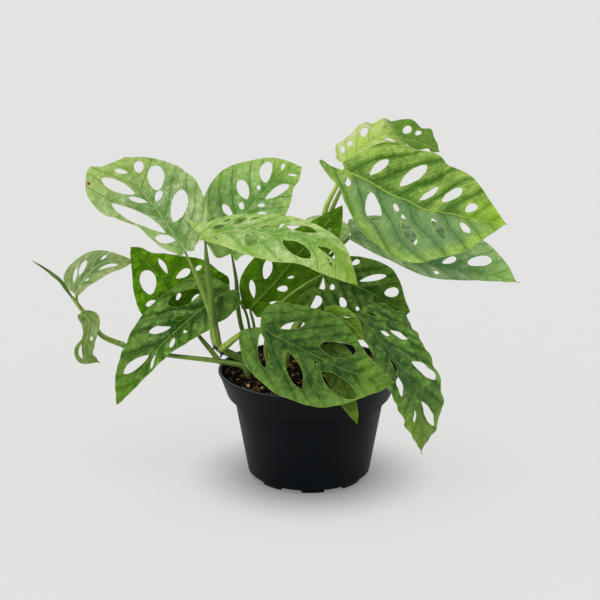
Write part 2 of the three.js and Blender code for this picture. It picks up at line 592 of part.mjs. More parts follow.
// Potting mix with a lumpy top, drawn as a lathe whose top rings are then raised and lowered
function soilSolid() {
  const bandFoot = pot.height - pot.bandHeight;
  const inside = pot.wallThickness + soil.clearance;
  const floor = pot.floorThickness + soil.clearance;
  const edgeRadius = bandRadius(soil.edgeHeight) - inside - soil.clearance;
  const profile = [
    [0, floor],
    [pot.footRadius - inside - pot.floorBevel, floor],
    [wallRadius(floor + pot.floorBevel) - inside, floor + pot.floorBevel],
    [pot.wallTopRadius - inside, bandFoot + soil.clearance],
    [pot.bandFootRadius - inside - soil.clearance, bandFoot + inside + soil.clearance],
    [edgeRadius, soil.edgeHeight],
  ];
  for (let i = soil.rings - 1; i >= 0; i -= 1) {
    const share = i / soil.rings;
    profile.push([edgeRadius * share, soil.edgeHeight + soil.domeHeight * (1 - share * share)]);
  }
  const lathe = new THREE.LatheGeometry(profile.map(([r, z]) => new THREE.Vector2(r, z)), soil.segments);
  lathe.rotateX(Math.PI / 2);
  lathe.deleteAttribute('normal');
  lathe.deleteAttribute('uv');
  const filling = mergeVertices(lathe, 1e-3);
  const random = seededRandom(soil.seed);
  const position = filling.attributes.position;
  for (let i = 0; i < position.count; i += 1) {
    const lump = (random() - 0.5) * 2 * soil.lumpHeight;
    if (position.getZ(i) > soil.edgeHeight + 0.01) position.setZ(i, position.getZ(i) + lump);
  }
  let solid = toSolid(filling);
  for (const parts of Object.values(vines)) {
    const { path, radii } = parts[0];
    const [[x, y, z], ...rest] = path;
    const deeper = [[x, y, z - stalk.socketGap], ...rest];
    const socket = taperedTube(deeper, radii.map((radius) => radius + stalk.socketGap));
    solid = solid.subtract(toSolid(socket));
  }
  return solid;
}

function piece(name, geometry, color, roughness) {
  const flatShaded = geometry.index ? geometry.toNonIndexed() : geometry;
  flatShaded.computeVertexNormals();
  const mesh = new THREE.Mesh(flatShaded, new THREE.MeshStandardMaterial({ color, roughness, metalness: 0 }));
  mesh.name = name;
  return mesh;
}

const group = new THREE.Group();
group.add(piece('pot', toGeometry(potSolid()), colours.pot, 0.45));
group.add(piece('soil', toGeometry(soilSolid()), colours.soil, 0.95));
for (const [name, parts] of Object.entries(vines)) {
  group.add(piece(name, toGeometry(fuse(parts.map(stalkGeometry))), colours.stalk, 0.5));
}
group.add(piece('leaf_rolled_new', taperedTube(newLeaf.path, newLeaf.radii), colours.newLeaf, 0.5));
for (const [name, leaf] of Object.entries(leaves)) {
  group.add(piece(name, bladeGeometry(leaf), leafColours[name] ?? colours.leaf, 0.4));
}

export default group;
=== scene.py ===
# Potted swiss cheese vine: a Monstera adansonii in a squat black nursery pot
import math
import random
import bmesh
import bpy
import numpy as np
from mathutils import Euler, Matrix, Vector, noise
from mathutils.geometry import delaunay_2d_cdt
from mathutils.kdtree import KDTree


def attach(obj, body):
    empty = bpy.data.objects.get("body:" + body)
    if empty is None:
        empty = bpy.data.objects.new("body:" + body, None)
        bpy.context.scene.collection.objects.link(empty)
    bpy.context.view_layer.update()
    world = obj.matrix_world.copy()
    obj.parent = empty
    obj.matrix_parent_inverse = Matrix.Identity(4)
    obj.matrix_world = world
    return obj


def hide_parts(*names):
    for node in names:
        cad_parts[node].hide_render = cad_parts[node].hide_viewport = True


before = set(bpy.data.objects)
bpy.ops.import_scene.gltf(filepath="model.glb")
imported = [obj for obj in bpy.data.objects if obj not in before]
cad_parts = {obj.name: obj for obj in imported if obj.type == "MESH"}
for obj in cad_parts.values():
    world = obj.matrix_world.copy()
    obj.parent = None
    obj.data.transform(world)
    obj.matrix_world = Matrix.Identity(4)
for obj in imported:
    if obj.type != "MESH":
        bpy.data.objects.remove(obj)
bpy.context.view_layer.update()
mm = 0.001  # every measure below is in millimetres

# Camera, floor and light
studio = {
    "cameraPlace": (-7.5, -1249.0, 510.9), "cameraTilt": 73.9, "lens": 95.46, "sensor": 36,
    "floorSize": 60000, "floorColour": (150, 150, 149), "floorGrain": 40, "floorShade": 0.985,
    "floorLight": 3.9, "floorSpread": 42, "floorFill": 2.2,
    "skyColour": (255, 255, 255), "skyStrength": 0.58,
    "keyTurn": (-8, -6, 0), "keyStrength": 1.0, "keySpread": 100,
    "sideTurn": (38, -52, 0), "sideStrength": 0.95, "sideSpread": 28,
}


def linear(colour):  # screen red, green and blue of 0 to 255, as the shader wants them
    parts = [part / 255 for part in colour]
    light = [part / 12.92 if part < 0.04045 else ((part + 0.055) / 1.055) ** 2.4 for part in parts]
    return (*light, 1)


def linkObject(name, data):
    made = bpy.data.objects.new(name, data)
    bpy.context.scene.collection.objects.link(made)
    return made


def meshObject(name, shape):  # a shape becomes an object
    made = linkObject(name, bpy.data.meshes.new(name))
    shape.to_mesh(made.data)
    shape.free()
    return made


class Number:  # a shader socket that can stand in a sum
    def __init__(self, paint, socket):
        self.paint = paint
        self.socket = socket

    def __add__(self, other):
        return self.paint.math("ADD", self, other)

    def __sub__(self, other):
        return self.paint.math("SUBTRACT", self, other)

    def __rsub__(self, other):
        return self.paint.math("SUBTRACT", other, self)

    def __mul__(self, other):
        return self.paint.math("MULTIPLY", self, other)

    def __truediv__(self, other):
        return self.paint.math("DIVIDE", self, other)

    def __abs__(self):
        return self.paint.math("ABSOLUTE", self)

    __radd__ = __add__
    __rmul__ = __mul__


class Paint:  # a material and the nodes in it
    def __init__(self, name):
        self.material = bpy.data.materials.new(name)
        self.material.use_nodes = True
        self.tree = self.material.node_tree
        self.tree.nodes.clear()

    def node(self, kind, settings, inputs):
        made = self.tree.nodes.new("ShaderNode" + kind)
        for key, value in settings.items():
            if key != "stops":
                setattr(made, key, value)
                continue
            ramp = made.color_ramp
            while len(ramp.elements) < len(value):
                ramp.elements.new(1)
            for element, (place, colour) in zip(ramp.elements, value):
                element.position = place
                element.color = linear(colour)
        for key, value in inputs.items():
            if isinstance(value, Number):
                value = value.socket
            if isinstance(value, bpy.types.NodeSocket):
                self.tree.links.new(value, made.inputs[key])
            else:
                made.inputs[key].default_value = value
        return made

    def math(self, operation, *values):
        made = self.node("Math", {"operation": operation}, dict(enumerate(values)))
        return Number(self, made.outputs[0])

    def attribute(self, name):
        return self.node("Attribute", {"attribute_name": name}, {}).outputs["Vector"]

    def place(self):
        return self.node("TexCoord", {}, {}).outputs["Object"]

    def split(self, vector):
        parts = self.node("SeparateXYZ", {}, {0: vector})
        return [Number(self, socket) for socket in parts.outputs]

    def shift(self, vector, scale, location=(0, 0, 0)):
        return self.node("Mapping", {}, {"Vector": vector, "Scale": scale, "Location": location}).outputs[0]

    def noise(self, vector, scale, detail=3, roughness=0.55, distortion=0):
        made = self.node("TexNoise", {}, {"Vector": vector, "Scale": scale, "Detail": detail,
                                          "Roughness": roughness, "Distortion": distortion})
        return Number(self, made.outputs["Fac"])

    def warp(self, vector, scale, amount):  # the vector pushed about by a noise
        push = self.node("TexNoise", {}, {"Vector": vector, "Scale": scale, "Detail": 2}).outputs["Color"]
        centred = self.node("VectorMath", {"operation": "SUBTRACT"}, {0: push, 1: (0.5, 0.5, 0.5)})
        return self.node("VectorMath", {"operation": "MULTIPLY_ADD"},
                         {0: centred.outputs[0], 1: (amount, amount, amount), 2: vector}).outputs[0]

    def cells(self, vector, scale, feature="DISTANCE_TO_EDGE"):
        made = self.node("TexVoronoi", {"feature": feature}, {"Vector": vector, "Scale": scale})
        return Number(self, made.outputs["Distance"])

    def ease(self, value, low, high, fromLow=0, fromHigh=1):
        made = self.node("MapRange", {"interpolation_type": "SMOOTHSTEP"}, {
            "Value": value, "From Min": low, "From Max": high, "To Min": fromLow, "To Max": fromHigh})
        return Number(self, made.outputs[0])

    def ramp(self, value, stops):
        return self.node("ValToRGB", {"stops": stops}, {0: value}).outputs[0]

    def mix(self, share, first, second):
        made = self.node("Mix", {"data_type": "RGBA"}, {0: share, 6: first, 7: second})
        return made.outputs[2]

    def bump(self, height, distance, strength):
        made = self.node("Bump", {}, {"Height": height, "Distance": distance * mm, "Strength": strength})
        return made.outputs[0]

    def surface(self, colour, roughness, gloss=0.5, **more):
        inputs = {"Base Color": colour, "Roughness": roughness, "Specular IOR Level": gloss, **more}
        return self.node("BsdfPrincipled", {}, inputs).outputs[0]

    def finish(self, shader):
        self.node("OutputMaterial", {}, {"Surface": shader})
        return self.material


def newLight(name, turn, strength, spread):
    light = bpy.data.lights.new(name, "SUN")
    light.energy = strength
    light.angle = math.radians(spread)
    holder = linkObject(name, light)
    holder.rotation_euler = [math.radians(angle) for angle in turn]
    return holder


def listFor(name, *things):  # a collection that tells a light what it reaches or what shades it
    made = bpy.data.collections.new(name)
    for thing in things:
        made.objects.link(thing)
    return made


def makeStudio():
    camera = linkObject("camera", bpy.data.cameras.new("camera"))
    camera.location = Vector(studio["cameraPlace"]) * mm
    camera.rotation_euler = (math.radians(studio["cameraTilt"]), 0, 0)
    camera.data.sensor_width = studio["sensor"]
    camera.data.lens = studio["lens"]
    bpy.context.scene.camera = camera

    sheet = bmesh.new()
    bmesh.ops.create_grid(sheet, x_segments=1, y_segments=1, size=studio["floorSize"] * mm / 2)
    floor = meshObject("floor", sheet)
    paint = Paint("paleFloor")
    grain = paint.noise(paint.place(), studio["floorGrain"], detail=2)
    tone = linear(studio["floorColour"])
    shade = tuple(c * studio["floorShade"] for c in tone[:3]) + (1,)
    floor.data.materials.append(paint.finish(paint.surface(paint.mix(grain, tone, shade), 0.8, 0.1)))

    world = bpy.data.worlds.new("studio")
    world.use_nodes = True
    sky = world.node_tree.nodes["Background"]
    sky.inputs["Color"].default_value = linear(studio["skyColour"])
    sky.inputs["Strength"].default_value = studio["skyStrength"]
    bpy.context.scene.world = world
    plantOnly = listFor("plantOnly", floor)
    plantOnly.collection_objects[0].light_linking.link_state = "EXCLUDE"
    for name in ("key", "side"):
        turn, strength, spread = (studio[name + part] for part in ("Turn", "Strength", "Spread"))
        newLight(name + "Light", turn, strength, spread).light_linking.receiver_collection = plantOnly
    floorOnly = listFor("floorOnly", floor)
    for name in ("floorLight", "floorFill"):  # the pot alone shades the first, nothing the second
        light = newLight(name, (0, 0, 0), studio[name], studio["floorSpread"])
        light.light_linking.receiver_collection = floorOnly
        light.light_linking.blocker_collection = floorOnly
    bpy.context.scene.view_settings.view_transform = "Standard"
    bpy.context.scene.view_settings.look = "None"


makeStudio()
print("studio is set")


# Meshes
def finishPiece(name, shape, material, slot, *nodes):  # a shape in millimetres becomes a piece
    bmesh.ops.scale(shape, vec=(mm, mm, mm), verts=shape.verts)
    for face in shape.faces:
        face.smooth = True
    piece = meshObject(name, shape)
    piece.data.materials.append(material)
    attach(piece, "root")
    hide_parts(*nodes)
    return piece


def settle(holder, shape):  # an object joins the shape as its modifiers leave it, and goes
    bpy.context.view_layer.update()
    graph = bpy.context.evaluated_depsgraph_get()
    mesh = bpy.data.meshes.new_from_object(holder.evaluated_get(graph))
    bpy.data.objects.remove(holder)
    shape.from_mesh(mesh)
    bpy.data.meshes.remove(mesh)
    return shape


def storeVectors(piece, label, table):  # three values at each point, for the material
    layer = piece.data.attributes.new(label, "FLOAT_VECTOR", "POINT")
    layer.data.foreach_set("vector", np.asarray(table, np.float32).ravel())


def sharpenEdges(shape, degrees):
    for edge in shape.edges:
        if len(edge.link_faces) == 2 and edge.calc_face_angle(0) > math.radians(degrees):
            edge.smooth = False


def profileLine(shape, points):  # points of radius and height, joined to a line
    line = [shape.verts.new((radius, 0, height)) for radius, height in points]
    for pair in zip(line, line[1:]):
        shape.edges.new(pair)
    return line


def spinShape(shape, steps):  # turns a line round the pot's axis
    bmesh.ops.spin(shape, geom=shape.verts[:] + shape.edges[:], cent=(0, 0, 0), axis=(0, 0, 1),
                   dvec=(0, 0, 0), angle=math.tau, steps=steps, use_merge=True)
    bmesh.ops.remove_doubles(shape, verts=shape.verts, dist=1e-3)
    bmesh.ops.recalc_face_normals(shape, faces=shape.faces)


def unit(ways):
    return ways / np.linalg.norm(ways, axis=-1, keepdims=True)


def splineTable(points, steps, leadOut):  # a Catmull-Rom line through the points
    knots = np.array(points, float)
    first = 2 * knots[0] - knots[1] if leadOut else knots[0]
    last = 2 * knots[-1] - knots[-2] if leadOut else knots[-1]
    padded = np.vstack([first, knots, last])
    t = np.linspace(0, 1, steps, endpoint=False)[:, None]
    rows = []
    for a, b, c, d in zip(padded, padded[1:], padded[2:], padded[3:]):
        rows.append(b + t * (c - a) / 2 + t ** 2 * (a - 2.5 * b + 2 * c - d / 2)
                    + t ** 3 * (3 * b - a - 3 * c + d) / 2)
    return np.vstack([*rows, knots[-1:]])


def runLengths(line):
    return np.concatenate([[0], np.cumsum(np.linalg.norm(np.diff(line, axis=0), axis=1))])


def resample(line, step):
    run = runLengths(line)
    marks = np.linspace(0, run[-1], max(3, round(run[-1] / step)) + 1)
    return np.column_stack([np.interp(marks, run, column) for column in line.T])


# Pot
pot = {
    "height": 92, "rimRadius": 75, "lipHeight": 1.9, "lipOverhang": 0.7, "lipWidth": 2.2,
    "bandHeight": 26.5, "shoulderHeight": 5.5, "bandFootRadius": 67.6, "wallTopRadius": 61.5,
    "footRadius": 50, "footHeight": 4.2, "footInset": 2.2, "footStep": 0.7, "wallThickness": 1.5,
    "floorHeight": 6.5, "floorInset": 5, "roundingSegments": 4, "spinSteps": 180, "sharpAngle": 35,
    "colour": (2, 7, 12), "dustColour": (19, 27, 36), "lipHighlightColour": (88, 96, 104), "gloss": 0.1,
}
drain = {"count": 8, "width": 18, "height": 2.5, "innerRadius": 40, "firstAngle": -109}


def wallRadius(height):
    share = height / (pot["height"] - pot["bandHeight"])
    return pot["footRadius"] + (pot["wallTopRadius"] - pot["footRadius"]) * share


def potMaterial():
    paint = Paint("blackPlastic")
    place = paint.place()
    streaks = paint.noise(paint.shift(place, (260, 260, 14)), 1, detail=4)
    dust = paint.noise(place, 55, detail=5, roughness=0.65)
    fine = paint.noise(place, 900, detail=2)
    height = paint.split(place)[2] / mm
    low = paint.ease(height, 2, 26, 0.55, 0)
    grey = paint.ease(dust + streaks * 0.2 + low * 0.2, 0.6, 1.1, 0, 0.5)
    colour = paint.mix(grey, linear(pot["colour"]), linear(pot["dustColour"]))
    # painted highlight: the top face of the lip is made lighter grey
    lipHighlight = paint.ease(height, pot["height"] - 0.6, pot["height"] - 0.1, 0, 0.6)  # the top of the lip
    colour = paint.mix(lipHighlight, colour, linear(pot["lipHighlightColour"]))
    underBand = pot["height"] - pot["bandHeight"] + pot["shoulderHeight"] / 2
    dull = paint.ease(abs(height - underBand), 2.8, 4, 0.2, 0)  # the shoulder shines less
    bump = paint.bump(streaks * 0.5 + fine * 0.5, 0.12, 0.35)
    rough = 0.4 + dust * 0.18 + grey * 0.15 + dull
    return paint.finish(paint.surface(colour, rough, pot["gloss"], Normal=bump))


def drainNotches():
    notches = bmesh.new()
    reach = pot["rimRadius"] - drain["innerRadius"]
    size = Matrix.Diagonal((reach, drain["width"], drain["height"] * 2, 1))
    slide = Matrix.Translation((drain["innerRadius"] + reach / 2, 0, 0))
    for step in range(drain["count"]):
        turn = Matrix.Rotation(math.radians(drain["firstAngle"]) + math.tau * step / drain["count"], 4, "Z")
        bmesh.ops.create_cube(notches, size=1, matrix=turn @ slide @ size)
    return meshObject("notches", notches)


def makePot():
    foot = pot["footRadius"] - pot["footInset"]
    footTop = pot["footHeight"] + pot["footStep"]
    bandFoot = pot["height"] - pot["bandHeight"]
    shoulder = bandFoot + pot["shoulderHeight"]
    lipFoot = pot["height"] - pot["lipHeight"]
    thick = pot["wallThickness"]
    floor = pot["floorHeight"]
    corners = [  # radius, height and rounding: out under the foot, up outside and down inside
        (0, 0, 0), (foot - 1, 0, 0.6), (foot + 0.6, pot["footHeight"], 0.5),
        (wallRadius(footTop), footTop, 0.5),
        (pot["wallTopRadius"], bandFoot, 0.8), (pot["bandFootRadius"], shoulder, 1.6),
        (pot["rimRadius"] - pot["lipOverhang"], lipFoot, 0.3), (pot["rimRadius"], lipFoot, 0.6),
        (pot["rimRadius"], pot["height"], 0.7), (pot["rimRadius"] - pot["lipWidth"], pot["height"], 0.7),
        (pot["bandFootRadius"] - thick, shoulder, 2), (pot["wallTopRadius"] - thick, bandFoot, 1.5),
        (wallRadius(floor + 2) - thick, floor + 2, 1), (pot["footRadius"] - pot["floorInset"], floor, 1),
        (0, floor, 0),
    ]
    cup = bmesh.new()
    line = profileLine(cup, [corner[:2] for corner in corners])
    for vert, (radius, height, rounding) in zip(line, corners):
        if rounding:
            bmesh.ops.bevel(cup, geom=[vert], offset=rounding, offset_type="OFFSET", affect="VERTICES",
                            segments=pot["roundingSegments"], profile=0.5, material=-1)
    spinShape(cup, pot["spinSteps"])
    holder = meshObject("cup", cup)
    cutter = drainNotches()
    cut = holder.modifiers.new("notches", "BOOLEAN")
    cut.operation = "DIFFERENCE"
    cut.solver = "EXACT"
    cut.object = cutter
    shape = settle(holder, bmesh.new())
    bpy.data.objects.remove(cutter)
    sharpenEdges(shape, pot["sharpAngle"])
    piece = finishPiece("pot_shell", shape, potMaterial(), "pot", "pot")
    bpy.data.objects["floorLight"].light_linking.blocker_collection = listFor("potOnly", piece)


makePot()
print("pot is made")

# Potting mix
soil = {
    "edgeHeight": 88, "domeHeight": 1.6, "edgeRadius": 71, "side": ((67.9, 79), (65.5, 72.5), (0, 71.5)),
    "rings": 84, "spinSteps": 200, "sharpAngle": 40, "gloss": 0.1, "seed": 5,
    "lumpSize": 6, "lumpHeight": 4.6, "crumbSize": 2.2, "crumbHeight": 1.6, "sink": 0.8, "baseTone": 0.08,
    "chips": 1150, "chipLength": (0.7, 3.4, 1.2), "chipWidth": (0.35, 0.8), "chipThickness": (0.3, 0.7),
    "chipTone": (1.0, 1.8), "fibres": 260, "fibreLength": (3, 8), "fibreWidth": (0.2, 0.4),
    "fibreTone": (0.3, 0.7), "edgeGap": 1.5, "tilt": (0.35, 0.3), "rise": (-0.3, 0.7), "dent": 0.35,
    "batch": 60,
    "tones": [(0.1, (4, 3, 2)), (0.32, (42, 33, 18)), (0.55, (120, 93, 54)), (0.78, (202, 162, 104)),
              (1, (236, 204, 158))],
}


def soilTop(x, y):
    out = math.hypot(x, y) / soil["edgeRadius"]
    lump = noise.fractal(Vector((x, y, 3)) / soil["lumpSize"], 0.6, 2, 3)
    crumb = abs(noise.noise(Vector((x, y, 9)) / soil["crumbSize"]))
    return soil["edgeHeight"] + soil["domeHeight"] * (1 - out ** 2) + lump * soil["lumpHeight"] / 2 \
        + crumb * soil["crumbHeight"] - soil["sink"]


def soilMaterial():
    paint = Paint("barkMix")
    place = paint.place()
    tone = paint.split(paint.attribute("chipTone"))[0]
    grain = paint.noise(place, 900, detail=6, roughness=0.7)
    fibre = paint.noise(paint.shift(place, (2200, 500, 900)), 1, detail=3)
    damp = paint.noise(place, 60, detail=3)
    colour = paint.ramp(tone + (grain - 0.5) * 0.5 + (damp - 0.5) * 0.25, soil["tones"])
    bump = paint.bump(grain * 0.6 + fibre * 0.4, 0.5, 0.8)
    return paint.finish(paint.surface(colour, 0.75 + grain * 0.25, soil["gloss"], Normal=bump))


def pourInto(mix, chip):
    batch = bpy.data.meshes.new("chips")
    chip.to_mesh(batch)
    mix.from_mesh(batch)
    bpy.data.meshes.remove(batch)
    bmesh.ops.delete(chip, geom=chip.verts[:], context="VERTS")


def strewChip(chip, layer, dice, isFibre):  # one chip or fibre on the soil, as a dented ball
    turn = dice.uniform(0, math.tau)
    out = (soil["edgeRadius"] - soil["edgeGap"]) * math.sqrt(dice.random())
    x, y = out * math.cos(turn), out * math.sin(turn)
    long = dice.uniform(*soil["fibreLength"]) if isFibre else dice.triangular(*soil["chipLength"])
    wide = dice.uniform(*soil["fibreWidth"]) if isFibre else long * dice.uniform(*soil["chipWidth"])
    thick = wide if isFibre else wide * dice.uniform(*soil["chipThickness"])
    tilt = [dice.gauss(0, spread) for spread in soil["tilt"]] + [dice.uniform(0, math.tau)]
    spot = Matrix.Translation((x, y, soilTop(x, y) + dice.uniform(*soil["rise"])))
    place = spot @ Euler(tilt).to_matrix().to_4x4() @ Matrix.Diagonal((long, wide, thick, 1))
    made = bmesh.ops.create_icosphere(chip, subdivisions=1, radius=1, matrix=place)
    tone = dice.uniform(*soil["fibreTone"]) if isFibre else dice.betavariate(*soil["chipTone"])
    for vert in made["verts"]:
        vert.co += Vector([dice.uniform(-1, 1) * thick * soil["dent"] for axis in range(3)])
        vert[layer] = (tone, 0, 0)


def makeSoil():
    dice = random.Random(soil["seed"])
    mix = bmesh.new()
    rings = [(soil["edgeRadius"] * ring / soil["rings"], soil["edgeHeight"])
             for ring in range(soil["rings"] + 1)]
    profileLine(mix, [*rings, *soil["side"]])
    spinShape(mix, soil["spinSteps"])
    toneLayer = mix.verts.layers.float_vector.new("chipTone")
    for vert in mix.verts:
        if vert.co.z > soil["edgeHeight"] - 1:
            vert.co.z = soilTop(vert.co.x, vert.co.y)
            vert[toneLayer] = (soil["baseTone"], 0, 0)
    chip = bmesh.new()
    layer = chip.verts.layers.float_vector.new("chipTone")
    for index in range(soil["chips"] + soil["fibres"]):
        if (index + 1) % soil["batch"] == 0:  # an operator slows down as its mesh grows
            pourInto(mix, chip)
        strewChip(chip, layer, dice, index >= soil["chips"])
    pourInto(mix, chip)
    chip.free()
    for vert in mix.verts:  # nothing passes the wall
        out = math.hypot(vert.co.x, vert.co.y)
        if out > soil["edgeRadius"] and vert.co.z > soil["edgeHeight"] - 3:
            vert.co.xy *= soil["edgeRadius"] / out
    sharpenEdges(mix, soil["sharpAngle"])
    finishPiece("potting_mix", mix, soilMaterial(), "soil", "soil")


makeSoil()
print("potting mix is made")

# Leaves
stations = [0, 0.08, 0.2, 0.35, 0.5, 0.65, 0.8, 0.92]  # where the half widths of a leaf are listed
